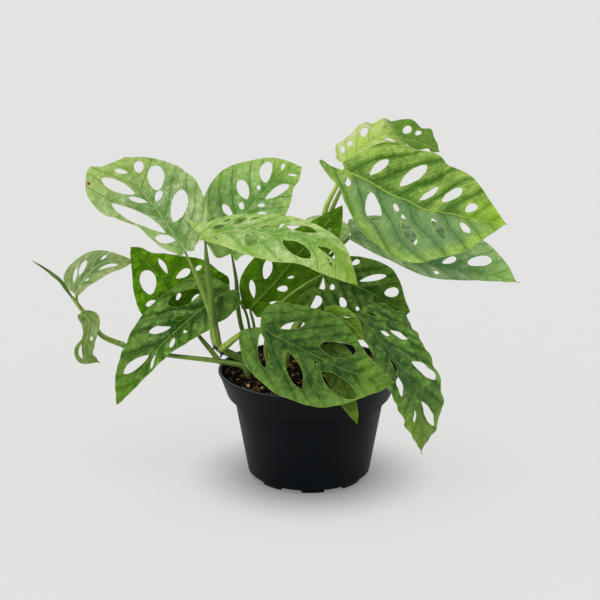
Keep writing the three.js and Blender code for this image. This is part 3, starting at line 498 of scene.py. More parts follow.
# midrib: from the stalk to the tip. topSide: where the upper face looks at the stalk, and then at the tip.
# holes: along the midrib, out from it, length, width, slant in degrees to the midrib.
# tone: how bright. quilt: height of the fields between veins, and painted shade in their valleys. blotch:
# how blotched. ruffle: wavy edges.
# scar: a brown spot, along and across. cool: which half gets a painted grey sheen. tipSpan: where the tip's
# colour starts.
# dome: painted highlight on the bump tops and painted shade between them. blister: how much the bumps show
# in shape. lift: an ear, from where and how far up.
leaves = {
    "leaf_upper_left": {
        "midrib": [(-101, 4, 191), (-110, 14, 201), (-124, 30, 217), (-139, 45, 232), (-154, 62, 257)],
        "topSide": [(0, -70, 72)],
        "left": {"lobe": [(-3, 5)], "widths": (7, 12, 17, 20, 27, 38, 42, 39),
            "shoulder": [(106, 31), (103, 20)],
            "holes": [(18, 8, 16, 8, 50), (47, 16, 53, 11, 25), (63, 7, 16, 5, 40), (81, 16, 30, 10, 40),
                      (92, 8, 11, 4, 55)]},
        "right": {"lobe": [(-4, 6)], "widths": (10, 24, 33, 39, 42, 41, 33, 17),
            "holes": [(39, 17, 31, 13, 45), (57, 9, 11, 6, 50), (74, 16, 25, 14, 20), (90, 7, 11, 8, 20)]},
        "slot": "leaf_pale", "finish": "pale", "tone": 1.24, "quilt": 0.7, "blotch": 0.35, "ruffle": 1.0,
        "scar": (93, 37), "rib": 0.45, "net": 0.35,
    },
    "leaf_upper_middle": {
        "midrib": [(-65, 38, 180), (-52, 56, 211), (-37, 68, 227), (-23, 78, 239), (-6, 84, 244)],
        "topSide": [(-10, -70, 70), (0, -70, 70)],
        "left": {"lobe": [(-7, 10)], "widths": (20, 30, 36, 41, 42, 37, 23, 10),
            "holes": [(33, 16, 15, 5, 65), (41, 7, 7, 4, 50), (53, 15, 20, 9, 60), (62, 6, 5, 3, 45),
                      (76, 11, 19, 10, 45), (89, 6, 7, 3, 50)]},
        "right": {"lobe": [(-5, 6)], "widths": (9, 18, 26, 31, 30, 25, 18, 12),
            "holes": [(43, 12, 8, 4, 50), (50, 7, 6, 4, 50), (70, 9, 27, 8, 15), (92, 5, 8, 3, 25)]},
        "slot": "leaf_green", "finish": "soft", "tone": 1.34, "quilt": 0.8, "blotch": 0.35, "rib": 0.4,
        "net": 0.35,
    },
    "leaf_front_upper": {
        "midrib": [(-84, -14, 208), (-59, -20, 214), (-35, -28, 214), (-16, -35, 214), (2, -42, 212),
                   (21, -50, 204), (38, -57, 179)],
        "topSide": [(-20, -55, 80), (10, -35, 93)],
        "left": {"lobe": [(-8, 8), (-19, 25), (-10, 17)], "widths": (14, 16, 18, 21, 21, 16, 10, 4),
            "holes": [(11, 6, 12, 5, 0), (18, 12, 6, 3, 15), (28, 10, 12, 6, 40), (39, 14, 9, 3, 35),
                      (50, 6, 9, 3, 30), (61, 8, 10, 4, 60), (79, 9, 25, 8, 0)]},
        "right": {"lobe": [(-4, 3)], "widths": (5, 12, 21, 28, 32, 32, 28, 14),
            "holes": [(10, 5, 8, 2, 40), (43, 11, 17, 10, 50), (52, 4, 6, 2, 20), (85, 15, 35, 13, 25),
                      (108, 6, 18, 7, 0), (117, 13, 8, 3, 10)]},
        "slot": "leaf_young", "finish": "fresh", "tone": 1.25, "quilt": 0.8, "blotch": 0.35, "rib": 0.5,
        "net": 0.3,
    },
    "leaf_left_back": {
        "midrib": [(-100, 42, 117), (-115, 36, 140), (-122, 32, 157), (-132, 27, 173), (-147, 21, 190)],
        "topSide": [(-20, 95, 25)],
        "left": {"lobe": [(-8, 18)], "widths": (38, 45, 50, 48, 41, 25, 10, 6),
            "holes": [(15, 35, 9, 5, 90), (18, 17, 9, 5, 75), (28, 6, 7, 4, 50), (44, 31, 8, 3, 80),
                      (45, 18, 14, 6, 85), (59, 8, 15, 4.4, 8)]},
        "right": {"lobe": [(-3, 5)], "widths": (8, 14, 24, 28, 27, 23, 15, 7),
            "holes": [(34, 17, 9, 4, 90), (53, 10.5, 25, 13.5, -18)]},
        "slot": "leaf_dark", "finish": "dark", "tone": 2.7, "quilt": 1.2, "blotch": 0.6, "gloss": 0.1,
        "ruffle": 0.8, "blister": 1.0, "topTone": 1.1,
    },
    "leaf_left_drooping": {
        "midrib": [(-66, 22, 153), (-78, 19, 146), (-91, 15, 137), (-126, 6, 106), (-160, -4, 61)],
        "topSide": [(-35, -85, 40), (-40, -85, 40)],
        "left": {"lobe": [(-6, 5)], "widths": (16, 19, 19, 16, 12, 9, 6, 3),
            "holes": [(38, 7, 5, 2, 10), (49, 6, 7, 3, 10), (65, 6, 9, 4, 25), (88, 4, 13, 3, 20)]},
        "right": {"lobe": [(-2, 4)], "widths": (7, 24, 30, 32, 32, 27, 21, 11),
            "holes": [(33, 17, 30, 12, 20), (47, 6, 8, 4, 35), (65, 11, 19, 7, 35), (99, 7, 27, 8, 20)]},
        "slot": "leaf_dark", "finish": "dark", "tone": 1.42, "quilt": 1.4, "blotch": 0.6, "ruffle": 0.8,
        "blister": 1.6, "dome": 0.45, "hair": 0.06, "vein": 0.25,
    },
    "leaf_runner": {
        "midrib": [(-194, 22, 149), (-188, 24, 160), (-180, 26, 169), (-171, 28, 175), (-160, 30, 177),
                   (-146, 31, 175)],
        "topSide": [(-10, -50, 85), (10, -50, 85)],
        "left": {"lobe": [(0, 5)], "widths": (13, 19, 21, 20, 18, 12, 6, 3),
            "holes": [(12, 10, 12, 4, 35), (20, 9, 13, 6, 30), (38, 5, 6, 3, 35)]},
        "right": {"lobe": [(1, 2)], "widths": (3, 5, 8, 12, 14, 14, 12, 6),
            "holes": [(16, 3, 5, 2, 20), (39, 6, 20, 4, 5)]},
        "slot": "leaf_young", "finish": "pale", "tone": 0.94, "quilt": 0.6, "blotch": 0.5,
    },
    "leaf_runner_hanging": {
        "midrib": [(-190, 20, 133), (-183, 16, 128), (-184, 12, 117), (-187, 10, 106), (-184, 10, 97),
                   (-176, 12, 93)],
        "topSide": [(-60, -70, 20)],
        "left": {"lobe": [(-1, 3)], "widths": (4, 8, 12, 12, 11, 11, 8, 4),
            "holes": [(24, 6, 4, 3, 60)]},
        "right": {"lobe": [(-1, 3)], "widths": (5, 8, 9, 7, 6, 11, 13, 5),
            "holes": [(36, 5, 12, 4, 15)]},
        "slot": "leaf_green", "finish": "fresh", "tone": 0.65, "quilt": 0.7, "blotch": 1.0, "ruffle": 0.8,
        "drip": 2,
    },
    "leaf_centre_back": {
        "midrib": [(-49, 24, 136), (-27, 20, 161), (-8, 15, 186), (10, 12, 207), (27, 8, 228)],
        "topSide": [(30, 90, 10)],
        "left": {"lobe": [(-1, 8)], "widths": (10, 19, 24, 27, 25, 19, 16, 8),
            "holes": [(18, 11, 8, 3, 45), (32, 8, 9, 5, 40), (44, 7, 6, 2, 35), (97, 5, 5, 3, 35)]},
        "right": {"lobe": [(-5, 5)], "widths": (10, 21, 26, 26, 22, 16, 9, 4),
            "holes": [(14, 10, 16, 5, 50), (36, 12, 18, 8, 25)]},
        "slot": "leaf_dark", "finish": "dark", "tone": 1.8, "quilt": 1.1, "blotch": 0.6, "gloss": 0.1,
        "blister": 0.9, "topTone": 1.1,
    },
    "leaf_right_large": {
        "midrib": [(31, 12, 255), (50, 7, 247), (64, 3, 239), (79, -2, 234), (92, -6, 228), (112, -12, 226),
                   (129, -18, 223), (155, -27, 221)],
        "topSide": [(0, -70, 70), (10, -60, 75)],
        "left": {"lobe": [(-7, 6)], "widths": (17, 36, 48, 52, 51, 46, 31, 13),
            "holes": [(20, 16, 22, 7, 75), (48, 24, 30, 11, 70), (68, 15, 22, 6, 60), (87, 18, 21, 9, 60),
                      (105, 10, 11, 8, 55)]},
        "right": {"lobe": [(-14, 2.5), (-22, 3.5), (-23, 6.5), (-15, 10)],
            "widths": (17, 28, 38, 50, 52, 50, 36, 15),
            "holes": [(4, 9, 9, 5, 55), (33, 19, 26, 12, 55), (49, 11, 9, 4, 50), (65, 25, 27, 8, 50),
                      (86, 18, 26, 7, 50), (106, 11, 13, 6, 45)]},
        "slot": "leaf_green", "finish": "broad", "tone": 1.78, "quilt": 1.35, "blotch": 0.2, "dome": 0.18,
        "borderShare": 0.18, "rib": 0.9, "cool": -1, "tipSpan": (0.62, 1.1), "drip": 1.5, "lift": (-8, 6),
        "blister": 0.8,
    },
    "leaf_right_lower": {
        "midrib": [(35, 26, 199), (66, 18, 188), (99, 9, 178), (135, 2, 174), (168, -6, 168)],
        "topSide": [(0, -55, 80), (10, -55, 80)],
        "left": {"lobe": [(-8, 13)], "widths": (21, 29, 37, 44, 46, 42, 31, 16),
            "holes": [(30, 18, 18, 7, 60), (56, 24, 22, 9, 55), (84, 8, 13, 7, 40), (108, 12, 20, 11, 30)]},
        "right": {"lobe": [(-2, 3)], "widths": (5, 7, 9, 11, 13, 12, 8, 4),
            "holes": [(76, 7, 5, 3, 30)]},
        "slot": "leaf_green", "finish": "muted", "tone": 2.5, "quilt": 0.8, "blotch": 0.5, "blister": 0.9,
        "borderShare": 0.1, "rib": 0.45, "drip": 3, "vein": 0.3,
    },
    "leaf_top_young": {
        "midrib": [(32, 44, 257), (45, 50, 268), (56, 55, 275), (68, 60, 276), (80, 66, 272), (95, 72, 267),
                   (111, 76, 259)],
        "topSide": [(-30, -60, 70), (10, -50, 80)],
        "left": {"lobe": [(-5, 6)], "widths": (17, 20, 20, 19, 19, 23, 23, 17),
            "holes": [(5, 12, 7, 4, 60), (13, 12, 6, 5, 60), (27, 11, 9, 6, 50), (64, 11, 13, 6, 50),
                      (74, 11, 10, 4, 55)]},
        "right": {"lobe": [(-2, 3)], "widths": (6, 8, 10, 12, 11, 9, 7, 4),
            "holes": [(42, 6, 12, 4, 10)]},
        "slot": "leaf_young", "finish": "newest", "tone": 1.55, "quilt": 0.8, "blotch": 0.7, "ruffle": 2.2,
        "tipSpan": (0.38, 0.6), "tipShare": 0.95, "borderShare": 0, "blister": 0.9,
    },
    "leaf_front_large": {
        "midrib": [(-39, -42, 140), (-24, -50, 134), (-11, -57, 129), (6, -64, 123), (18, -70, 118),
                   (37, -77, 113), (65, -86, 109)],
        "topSide": [(0, -80, 60), (10, -80, 60)],
        "left": {"lobe": [(-6, 13)], "widths": (26, 29, 34, 37, 34, 27, 15, 6),
            "holes": [(22, 14, 20, 7, 40), (65, 13, 31, 14, 15)]},
        "right": {"lobe": [(-8, 5), (-12, 13)], "widths": (27, 34, 38, 42, 40, 34, 21, 10),
            "holes": [(13, 16, 30, 8, 50), (42, 18, 37, 11, 40), (54, 5, 3, 2, 25), (78, 14, 33, 13, 20)]},
        "slot": "leaf_green", "finish": "glossy", "tone": 0.84, "quilt": 0.7, "blotch": 0.25, "rib": 0.32,
        "blister": 2.2, "gloss": 0.36, "tipSpan": (0.6, 1.1), "borderShare": 0, "tipShare": 0.5,
        "drip": 1.5, "edgeLight": 0.3, "hair": 0.03, "vein": 0.15,
    },
    "leaf_front_small": {
        "midrib": [(13, -42, 125), (19, -57, 113), (26, -71, 99), (33, -79, 85), (37, -82, 74)],
        "topSide": [(0, -70, 60), (0, -80, 50)],
        "left": {"lobe": [(-3, 5)], "widths": (9, 14, 17, 16, 13, 8, 5, 3),
            "holes": [(24, 7, 11, 4, 50)]},
        "right": {"lobe": [(-3, 4)], "widths": (6, 8, 10, 10, 9, 8, 6, 3),
            "holes": []},
        "slot": "leaf_green", "finish": "green", "tone": 0.72, "quilt": 0.6, "blotch": 0.6, "rib": 0.35,
        "gloss": 0.2, "drip": 1,
    },
    "leaf_right_drooping": {
        "midrib": [(40, -22, 144), (61, -38, 123), (72, -45, 109), (82, -50, 94), (87, -52, 80),
                   (90, -51, 61), (91, -47, 37)],
        "topSide": [(40, -60, 65), (50, -75, 40)],
        "left": {"lobe": [(-4, 8)], "widths": (26, 33, 37, 32, 29, 28, 21, 13),
            "holes": [(4, 10, 10, 4, 40), (24, 8, 8, 4, 30), (31, 18, 16, 6, 25), (66, 18, 24, 9, 30),
                      (99, 8, 27, 7, 20)]},
        "right": {"lobe": [(-3, 4)], "widths": (6, 9, 14, 20, 22, 20, 15, 6),
            "holes": [(50, 5, 14, 3, 10), (66, 11, 20, 5, 20), (96, 6, 11, 3, 5)]},
        "slot": "leaf_green", "finish": "glossy", "tone": 1.2, "quilt": 1.0, "blotch": 0.4, "rib": 0.35,
        "ruffle": 1.6, "blister": 2.2, "gloss": 0.65, "drip": 4, "borderShare": 0.1, "dome": 0.5,
        "hair": 0.04, "vein": 0.2,
    },
    "leaf_middle_right": {
        "midrib": [(11, 6, 171), (29, 5, 165), (48, 3, 157), (66, 2, 147), (83, 2, 140)],
        "topSide": [(10, -90, 40), (20, -85, 45)],
        "left": {"lobe": [(-3, 5)], "widths": (9, 14, 21, 25, 27, 26, 19, 7),
            "holes": [(22, 18, 7, 4, 55), (39, 12, 23, 5, 40), (58, 9, 13, 8, 35)]},
        "right": {"lobe": [(4, 7), (5, 12), (-5, 14), (-14, 29)],
            "widths": (38, 38, 34, 28, 25, 24, 19, 11),
            "holes": [(1, 25, 14, 9, -60), (11, 8, 5, 4, 75), (24, 17, 9, 6, 45), (38, 17, 4, 3, 35)]},
        "slot": "leaf_dark", "finish": "dark", "tone": 1.22, "quilt": 0.8, "blotch": 0.6, "blister": 0.9,
        "gloss": 0.2,
    },
    "leaf_middle_small": {
        "midrib": [(12, -26, 148), (22, -31, 145), (33, -36, 140), (43, -42, 130)],
        "topSide": [(0, -70, 70)],
        "left": {"lobe": [(-2, 4)], "widths": (6, 8, 10, 11, 10, 8, 5, 2),
            "holes": [(18, 5, 5, 3, 50)]},
        "right": {"lobe": [(-2, 4)], "widths": (6, 10, 14, 15, 15, 13, 9, 5),
            "holes": []},
        "slot": "leaf_young", "finish": "green", "tone": 1.05, "quilt": 0.5, "blotch": 0.8, "gloss": 0.15,
    },
    "leaf_back_pale": {
        "midrib": [(-2, 46, 196), (11, 50, 195), (24, 54, 195), (37, 57, 197)],
        "topSide": [(0, -60, 70)],
        "left": {"lobe": [(-2, 5)], "widths": (11, 15, 17, 18, 17, 15, 11, 6),
            "holes": [(20, 8, 9, 4, 55)]},
        "right": {"lobe": [(-2, 5)], "widths": (8, 11, 14, 16, 14, 12, 9, 4),
            "holes": [(14, 7, 7, 3, 55)]},
        "slot": "leaf_pale", "finish": "pale", "tone": 1.75, "quilt": 0.5, "blotch": 0.5,
    },
}
plainLeaf = {  # what a leaf has when its own values say nothing else
    "ruffle": 0, "blister": 0.5, "drip": 0, "lift": (0, 0), "gloss": 0.3, "dome": 0.3, "hair": 0.12,
    "vein": 0.4, "net": 0.16, "rib": 0.7, "edgeLight": 0.12, "borderShare": 0.3, "tipShare": 0.7,
    "tipSpan": (0.5, 1.05),
}
blade = {
    "thickness": 0.5, "gridStep": 1.3, "edgeStep": 1.1, "bendSteps": 60, "outlineSteps": 12,
    "sharpAngle": 60, "holeSides": 32, "holeEgg": 0.2, "longHole": 1.8,
    "ribRows": (0, 0.7, 1.5), "ribDepth": 1.0, "ribWidth": 1.2, "grooveDepth": 0.3, "grooveWidth": 0.8,
    "waveHeight": 1.3, "waveLength": 46, "waveWidth": 40, "rightShift": 1.3,
    "turnReach": 11, "blisterSize": 7, "swellReach": 7, "ribReach": 4, "quiltPower": 0.8,
    "quiltSink": 0.4, "ripple": 0.3, "liftReach": 15,
}
sideVein = {  # spacing as a share of the leaf, slope from the slants of the holes, curl and wobble
    "share": 0.125, "least": 8, "slants": (25, 90), "slopes": (0.45, 1.3), "slope": 0.8, "curl": 0.006,
    "closest": 0.45, "widest": 1.2, "lead": 9, "tail": 13, "wobble": 2.6, "wobbleSize": 15, "calm": 10,
}
# Finish of a leaf: its upper face dark, light and at the tip, its underside dark and light, and its ribs
finishParts = ("deep", "light", "tip", "under", "underLight", "rib")
finishes = {
    "pale": [(88, 134, 52), (204, 222, 166), (172, 200, 92),
             (84, 130, 10), (120, 160, 40), (210, 224, 164)],
    "soft": [(78, 128, 44), (182, 210, 134), (158, 192, 72),
             (84, 130, 10), (120, 160, 40), (190, 214, 126)],
    "fresh": [(102, 154, 46), (208, 230, 162), (166, 202, 60),
              (86, 136, 0), (128, 172, 20), (216, 230, 136)],
    "green": [(40, 90, 4), (160, 198, 84), (146, 182, 24),
              (54, 98, 0), (92, 138, 16), (188, 214, 100)],
    "broad": [(54, 92, 12), (158, 186, 84), (146, 182, 24),
              (54, 98, 0), (92, 138, 16), (188, 214, 100)],
    "glossy": [(36, 88, 2), (134, 186, 66), (140, 182, 24),
               (54, 98, 0), (92, 138, 16), (182, 210, 92)],
    "muted": [(58, 96, 54), (156, 184, 132), (122, 160, 64),
              (54, 98, 0), (92, 138, 16), (160, 190, 116)],
    "newest": [(150, 184, 62), (222, 232, 156), (72, 120, 0),
               (84, 130, 0), (122, 160, 20), (222, 230, 140)],
    "dark": [(34, 74, 2), (128, 168, 76), (98, 142, 16),
             (48, 84, 4), (86, 130, 8), (140, 176, 56)],
}
# cool: the grey of the painted sheen on one half of a leaf
accents = {"scar": (70, 46, 26), "scarRing": (206, 190, 128), "cool": (120, 160, 112), "glowShare": 0.18}


class LeafSurface:  # bends flat places along and across a leaf into space
    def __init__(self, leaf):
        self.line = splineTable(leaf["midrib"], blade["bendSteps"], True)
        self.run = runLengths(self.line)
        self.length = self.run[-1]
        self.tangent = self.eased(unit(np.gradient(self.line, self.run, axis=0)))
        hints = unit(np.array(leaf["topSide"], float))
        share = (self.run / self.length)[:, None]
        up = hints[0] * (1 - share) + hints[-1] * share
        self.up = unit(up - self.tangent * (up * self.tangent).sum(axis=1)[:, None])
        self.sideways = np.cross(self.up, self.tangent)

    def eased(self, ways):  # turned more evenly, so that a wide blade doesn't crease inside a bend
        return unit(np.exp(-((self.run[:, None] - self.run) / blade["turnReach"]) ** 2) @ ways)

    def at(self, table, along):
        return np.column_stack([np.interp(along, self.run, column) for column in table.T])

    def bend(self, along, across, height=0):
        past = (along - np.clip(along, 0, self.length))[:, None]
        centre = self.at(self.line, along) + self.at(self.tangent, along) * past
        phase = np.where(across > 0, 0, blade["rightShift"])
        wave = blade["waveHeight"] * (across / blade["waveWidth"]) ** 2 \
            * np.sin(math.tau * along / blade["waveLength"] + phase)
        return centre + self.at(self.sideways, along) * across[:, None] \
            + self.at(self.up, along) * (wave + height)[:, None]

    def normal(self, along, across):
        step = 0.2
        forward = self.bend(along + step, across) - self.bend(along - step, across)
        leftward = self.bend(along, across + step) - self.bend(along, across - step)
        return unit(np.cross(forward, leftward))


def halfOutline(length, half, drip):  # from the stalk round the lobe to the tip
    widths = [(share * length, width) for share, width in zip(stations, half["widths"])]
    end = [(length - 0.8, 0.9), (length + drip * 0.5, 0.4), (length + drip, 0)] if drip else [(length, 0)]
    points = [(0, 0), *half["lobe"], *widths, *half.get("shoulder", []), *end]
    return resample(splineTable(points, blade["outlineSteps"], False), blade["edgeStep"])


def holeOutline(hole):  # an egg with its narrow end towards the midrib
    along, out, length, width, slant = hole
    angle = np.linspace(0, math.tau, blade["holeSides"], endpoint=False)
    sharp = min(max(length / width - blade["longHole"], 0) * 0.4, 0.5)  # a long hole narrows to its ends
    u = np.cos(angle) * length / 2
    v = np.sin(angle) * np.abs(np.sin(angle)) ** sharp * width / 2 * (1 + blade["holeEgg"] * np.cos(angle))
    turn = math.radians(slant)
    return np.column_stack([along + u * math.cos(turn) - v * math.sin(turn),
                            out + u * math.sin(turn) + v * math.cos(turn)])


def isInside(points, loop):
    x, y = points[:, :1], points[:, 1:]
    x0, y0 = loop.T
    x1, y1 = np.roll(loop, -1, axis=0).T
    crosses = (y0 > y) != (y1 > y)
    rise = np.where(y1 == y0, 1, y1 - y0)
    return (crosses & (x < x0 + (x1 - x0) * (y - y0) / rise)).sum(axis=1) % 2 == 1


def gapTo(points, loop):  # distance from each point to a closed loop
    step = np.roll(loop, -1, axis=0) - loop
    offset = points[:, None, :] - loop[None]
    share = np.clip((offset * step).sum(axis=2) / (step ** 2).sum(axis=1), 0, 1)
    return np.linalg.norm(offset - share[..., None] * step, axis=2).min(axis=1)

def veinSteps(holes, spacing):  # where the side veins of one half leave the midrib: between its holes
    flattest, steepest = sideVein["slants"]
    cots = [1 / math.tan(math.radians(hole[4])) for hole in holes if flattest < hole[4] < steepest]
    lowest, highest = sideVein["slopes"]
    slope = min(max(sum(cots) / len(cots), lowest), highest) if cots else sideVein["slope"]
    gaps = sorted(along - slope * out - sideVein["curl"] * out ** 2 for along, out, *size in holes)
    gaps = gaps or [spacing]
    steps = [gaps[0] - spacing / 2]
    for first, second in zip(gaps, gaps[1:]):
        if second - first > spacing * sideVein["closest"]:
            steps.append((first + second) / 2)
    steps.append(gaps[-1] + spacing / 2)
    full = [steps[0]]
    for mark in steps[1:]:
        parts = max(1, round((mark - full[-1]) / spacing / sideVein["widest"]))
        start = full[-1]
        full += [start + (mark - start) * (part + 1) / parts for part in range(parts)]
    lead = [full[0] - spacing * step for step in range(sideVein["lead"], 0, -1)]
    tail = [full[-1] + spacing * step for step in range(1, sideVein["tail"] + 1)]
    return slope, np.array(lead + full + tail)


def leafPoints(loops):  # rows beside the midrib and an even grid, clear of the edges
    step = blade["gridStep"]
    outline = loops[0]
    low, high = outline.min(axis=0), outline.max(axis=0)
    start = blade["ribRows"][-1] + step * 0.85
    even = list(enumerate(np.arange(start, np.abs(outline[:, 1]).max(), step * 0.866)))
    nearRows = sorted({side * row for row in blade["ribRows"] for side in (-1, 1)})
    spaced = [(0, across) for across in nearRows]
    spaced += [(index % 2, across * side) for side in (-1, 1) for index, across in even]
    rows = []
    for shifted, across in spaced:
        along = np.arange(low[0], high[0], step) + shifted * step / 2
        rows.append(np.column_stack([along, np.full(len(along), across)]))
    points = np.vstack(rows)
    points = points[isInside(points, outline)]
    for loop in loops:
        keep = gapTo(points, loop) > step * 0.5
        if loop is not outline:
            keep &= ~isInside(points, loop)
        points = points[keep]
    return points


def leafSheet(leaf, length):  # the flat blade: both faces and the rim, with height 0 below and 1 above
    left = halfOutline(length, leaf["left"], leaf["drip"])
    right = halfOutline(length, leaf["right"], leaf["drip"])[::-1] * (1, -1)
    loops = [np.vstack([left[:-1], right[:-1]])]
    loops += [holeOutline(hole) for hole in leaf["left"]["holes"]]
    loops += [holeOutline(hole)[::-1] * (1, -1) for hole in leaf["right"]["holes"]]
    points = [Vector(point) for point in np.vstack([*loops, leafPoints(loops)])]
    edges = []
    start = 0
    for loop in loops:
        count = len(loop)
        edges += [(start + step, start + (step + 1) % count) for step in range(count)]
        start += count
    corners, sides, faces, *origins = delaunay_2d_cdt(points, edges, [], 0, 1e-5)
    spots = np.array([tuple(corner) for corner in corners])
    middles = spots[np.array(faces)].mean(axis=1)
    keep = isInside(middles, loops[0])
    for loop in loops[1:]:
        keep &= ~isInside(middles, loop)
    sheet = bmesh.new()
    verts = [sheet.verts.new((x, y, 0)) for x, y in spots]
    for face, kept in zip(faces, keep):
        if kept:
            sheet.faces.new([verts[index] for index in face])
    loose = [vert for vert in sheet.verts if not vert.link_faces]
    bmesh.ops.delete(sheet, geom=loose, context="VERTS")
    bmesh.ops.recalc_face_normals(sheet, faces=sheet.faces)
    top = bmesh.ops.extrude_face_region(sheet, geom=sheet.faces[:], use_keep_orig=True)["geom"]
    lifted = [item for item in top if isinstance(item, bmesh.types.BMVert)]
    bmesh.ops.translate(sheet, vec=(0, 0, 1), verts=lifted)
    bmesh.ops.recalc_face_normals(sheet, faces=sheet.faces)
    sharpenEdges(sheet, blade["sharpAngle"])
    return sheet, loops


def leafFinish(leaf):  # the colours of a leaf, made as bright as its tone says
    finish = {}
    for key, colour in zip(finishParts, finishes[leaf["finish"]]):
        tone = leaf.get("topTone", leaf["tone"]) if key in ("deep", "light", "tip") else leaf["tone"]
        tone = min(tone, 1) if key == "rib" else tone
        finish[key] = tuple(min(part * tone, 0.9) for part in linear(colour)[:3]) + (1,)
    return finish


def scarred(paint, leaf, colour, along, across, fine):  # a small dry brown spot with a pale ring
    aside, beside = along - leaf["scar"][0], across - leaf["scar"][1]
    spotGap = paint.math("SQRT", aside * aside + beside * beside) + (fine - 0.5) * 1.2
    colour = paint.mix(paint.ease(spotGap, 1.9, 2.4, 1, 0), colour, linear(accents["scarRing"]))
    return paint.mix(paint.ease(spotGap, 0.9, 1.4, 1, 0), colour, linear(accents["scar"]))


def leafMaterial(name, leaf, length, seed):
    finish = leafFinish(leaf)
    paint = Paint(name + "_blade")
    place = paint.shift(paint.attribute("leafPlace"), (1, 1, 1), (seed * 31, seed * 17, 0))
    along, across, side = paint.split(paint.attribute("leafPlace"))
    phase, outlineGap, edgeGap = paint.split(paint.attribute("leafVeins"))
    share = along / length
    patches = paint.noise(place, 0.05, detail=2, distortion=0.4)
    spots = paint.noise(place, 0.13, detail=3, roughness=0.6, distortion=0.5)
    fine = paint.noise(place, 0.55, detail=4, roughness=0.7)
    warped = paint.warp(place, 0.12, 5)
    # painted highlight on the round tops of small bumps and painted shade in the creases between them; the
    # same bumps also feed the bump map
    dome = paint.ease(paint.cells(warped, 0.21, "SMOOTH_F1"), 0.02, 0.6, 1, 0)
    net = paint.ease(paint.cells(warped, 0.24), 0.0, 0.12, 1, 0)
    veinGap = paint.math("PINGPONG", phase, 0.5)
    vein = paint.ease(veinGap, 0.012, 0.06, 1, 0)
    # painted shade: the valleys between the side veins are darker
    valleyShade = paint.ease(veinGap, 0.0, 0.32, 1, 0)
    hair = paint.ease(paint.math("PINGPONG", phase * 5 + (fine - 0.5) * 0.5, 0.5), 0.02, 0.22, 1, 0)
    ribHalf = 0.85 - share * 0.5
    rib = paint.ease(abs(across) / ribHalf, 0.55, 1.25, 1, 0)
    ribShade = paint.ease(abs(across), 0.8, 9, 1, 0)
    # painted highlight: a thin pale line along every edge and hole, as if the rim caught the light,
    # stopping short of the tip
    rimHighlight = paint.ease(edgeGap, 0.2, 0.75, 1, 0) * paint.ease(share, 0.93, 0.99, 1, 0)
    border = paint.ease(outlineGap, 1, 16, 1, 0)
    if "cool" in leaf:  # the warmer half has a darker border
        border = border * paint.ease(across * leaf["cool"], -5, 5, 0.3, 1)
    # lightness carries painted shade in the valleys and along the midrib, and painted highlight on the bump
    # tops
    lightness = 0.5 + (patches - 0.5) * 0.9 + (spots - 0.5) * (1.1 * leaf["blotch"]) \
        + (dome - 0.5) * leaf["dome"] + (fine - 0.5) * 0.4 - hair * leaf["hair"] \
        - valleyShade * (0.29 * leaf["quilt"] - 0.06) - ribShade * 0.2 + border * leaf["edgeLight"]
    lightness = paint.ease(lightness, 0, 1)
    top = paint.mix(lightness, finish["deep"], finish["light"])
    tipFrom, tipTo = leaf["tipSpan"]
    tipward = paint.ease(share + (patches - 0.5) * 0.4, tipFrom, tipTo, 0, leaf["tipShare"])
    top = paint.mix(paint.math("MAXIMUM", tipward, border * leaf["borderShare"]), top, finish["tip"])
    # painted grey sheen on one half of the leaf
    if "cool" in leaf:  # one half greyer than the other
        half = paint.ease(across * leaf["cool"], 0.5, 5)
        top = paint.mix(half * (0.62 - border * 0.4), top, linear(accents["cool"]))
    top = paint.mix(vein * leaf["vein"] + net * leaf["net"], top, finish["deep"])
    under = paint.mix(lightness, finish["under"], finish["underLight"])
    under = paint.mix(vein * 0.35 + net * 0.06, under, finish["rib"])
    colour = paint.mix(side, under, top)
    colour = paint.mix(rib * leaf["rib"], colour, finish["rib"])
    # the painted edge highlight takes the rib colour
    colour = paint.mix(rimHighlight * 0.5, colour, finish["rib"])
    if "scar" in leaf:
        colour = scarred(paint, leaf, colour, along, across, fine)
    relief = (1 - vein) * 0.25 + (1 - hair) * 0.1 + fine * 0.25 + spots * 0.3 + dome * 0.7 \
        + (1 - net) * 0.15 + rimHighlight * 0.15
    bump = paint.bump(relief, 1.2 + leaf["blister"], 0.8)
    surface = paint.surface(colour, 0.28 + fine * 0.2 + valleyShade * 0.06, leaf["gloss"], Normal=bump)
    glow = paint.node("BsdfTranslucent", {}, {"Color": finish["tip"]})
    shader = paint.node("MixShader", {}, {0: accents["glowShare"], 1: surface, 2: glow.outputs[0]})
    return paint.finish(shader.outputs[0])


def noiseAt(spots, size, layer):
    return np.array([noise.noise(Vector((x / size, y / size, layer))) for x, y in spots])


def veinPhase(leaf, length, along, across, wobble):  # counts the side veins: whole on a vein
    out = np.abs(across)
    phase = np.zeros(len(along))
    calmed = wobble * (1 - np.exp(-out / sideVein["calm"]))
    for half, mine in ((leaf["left"], across > 0), (leaf["right"], across <= 0)):
        slope, steps = veinSteps(half["holes"], max(sideVein["least"], length * sideVein["share"]))
        start = along - slope * out - sideVein["curl"] * out ** 2 + calmed
        phase = np.where(mine, np.interp(start, steps, np.arange(len(steps))), phase)
    return phase


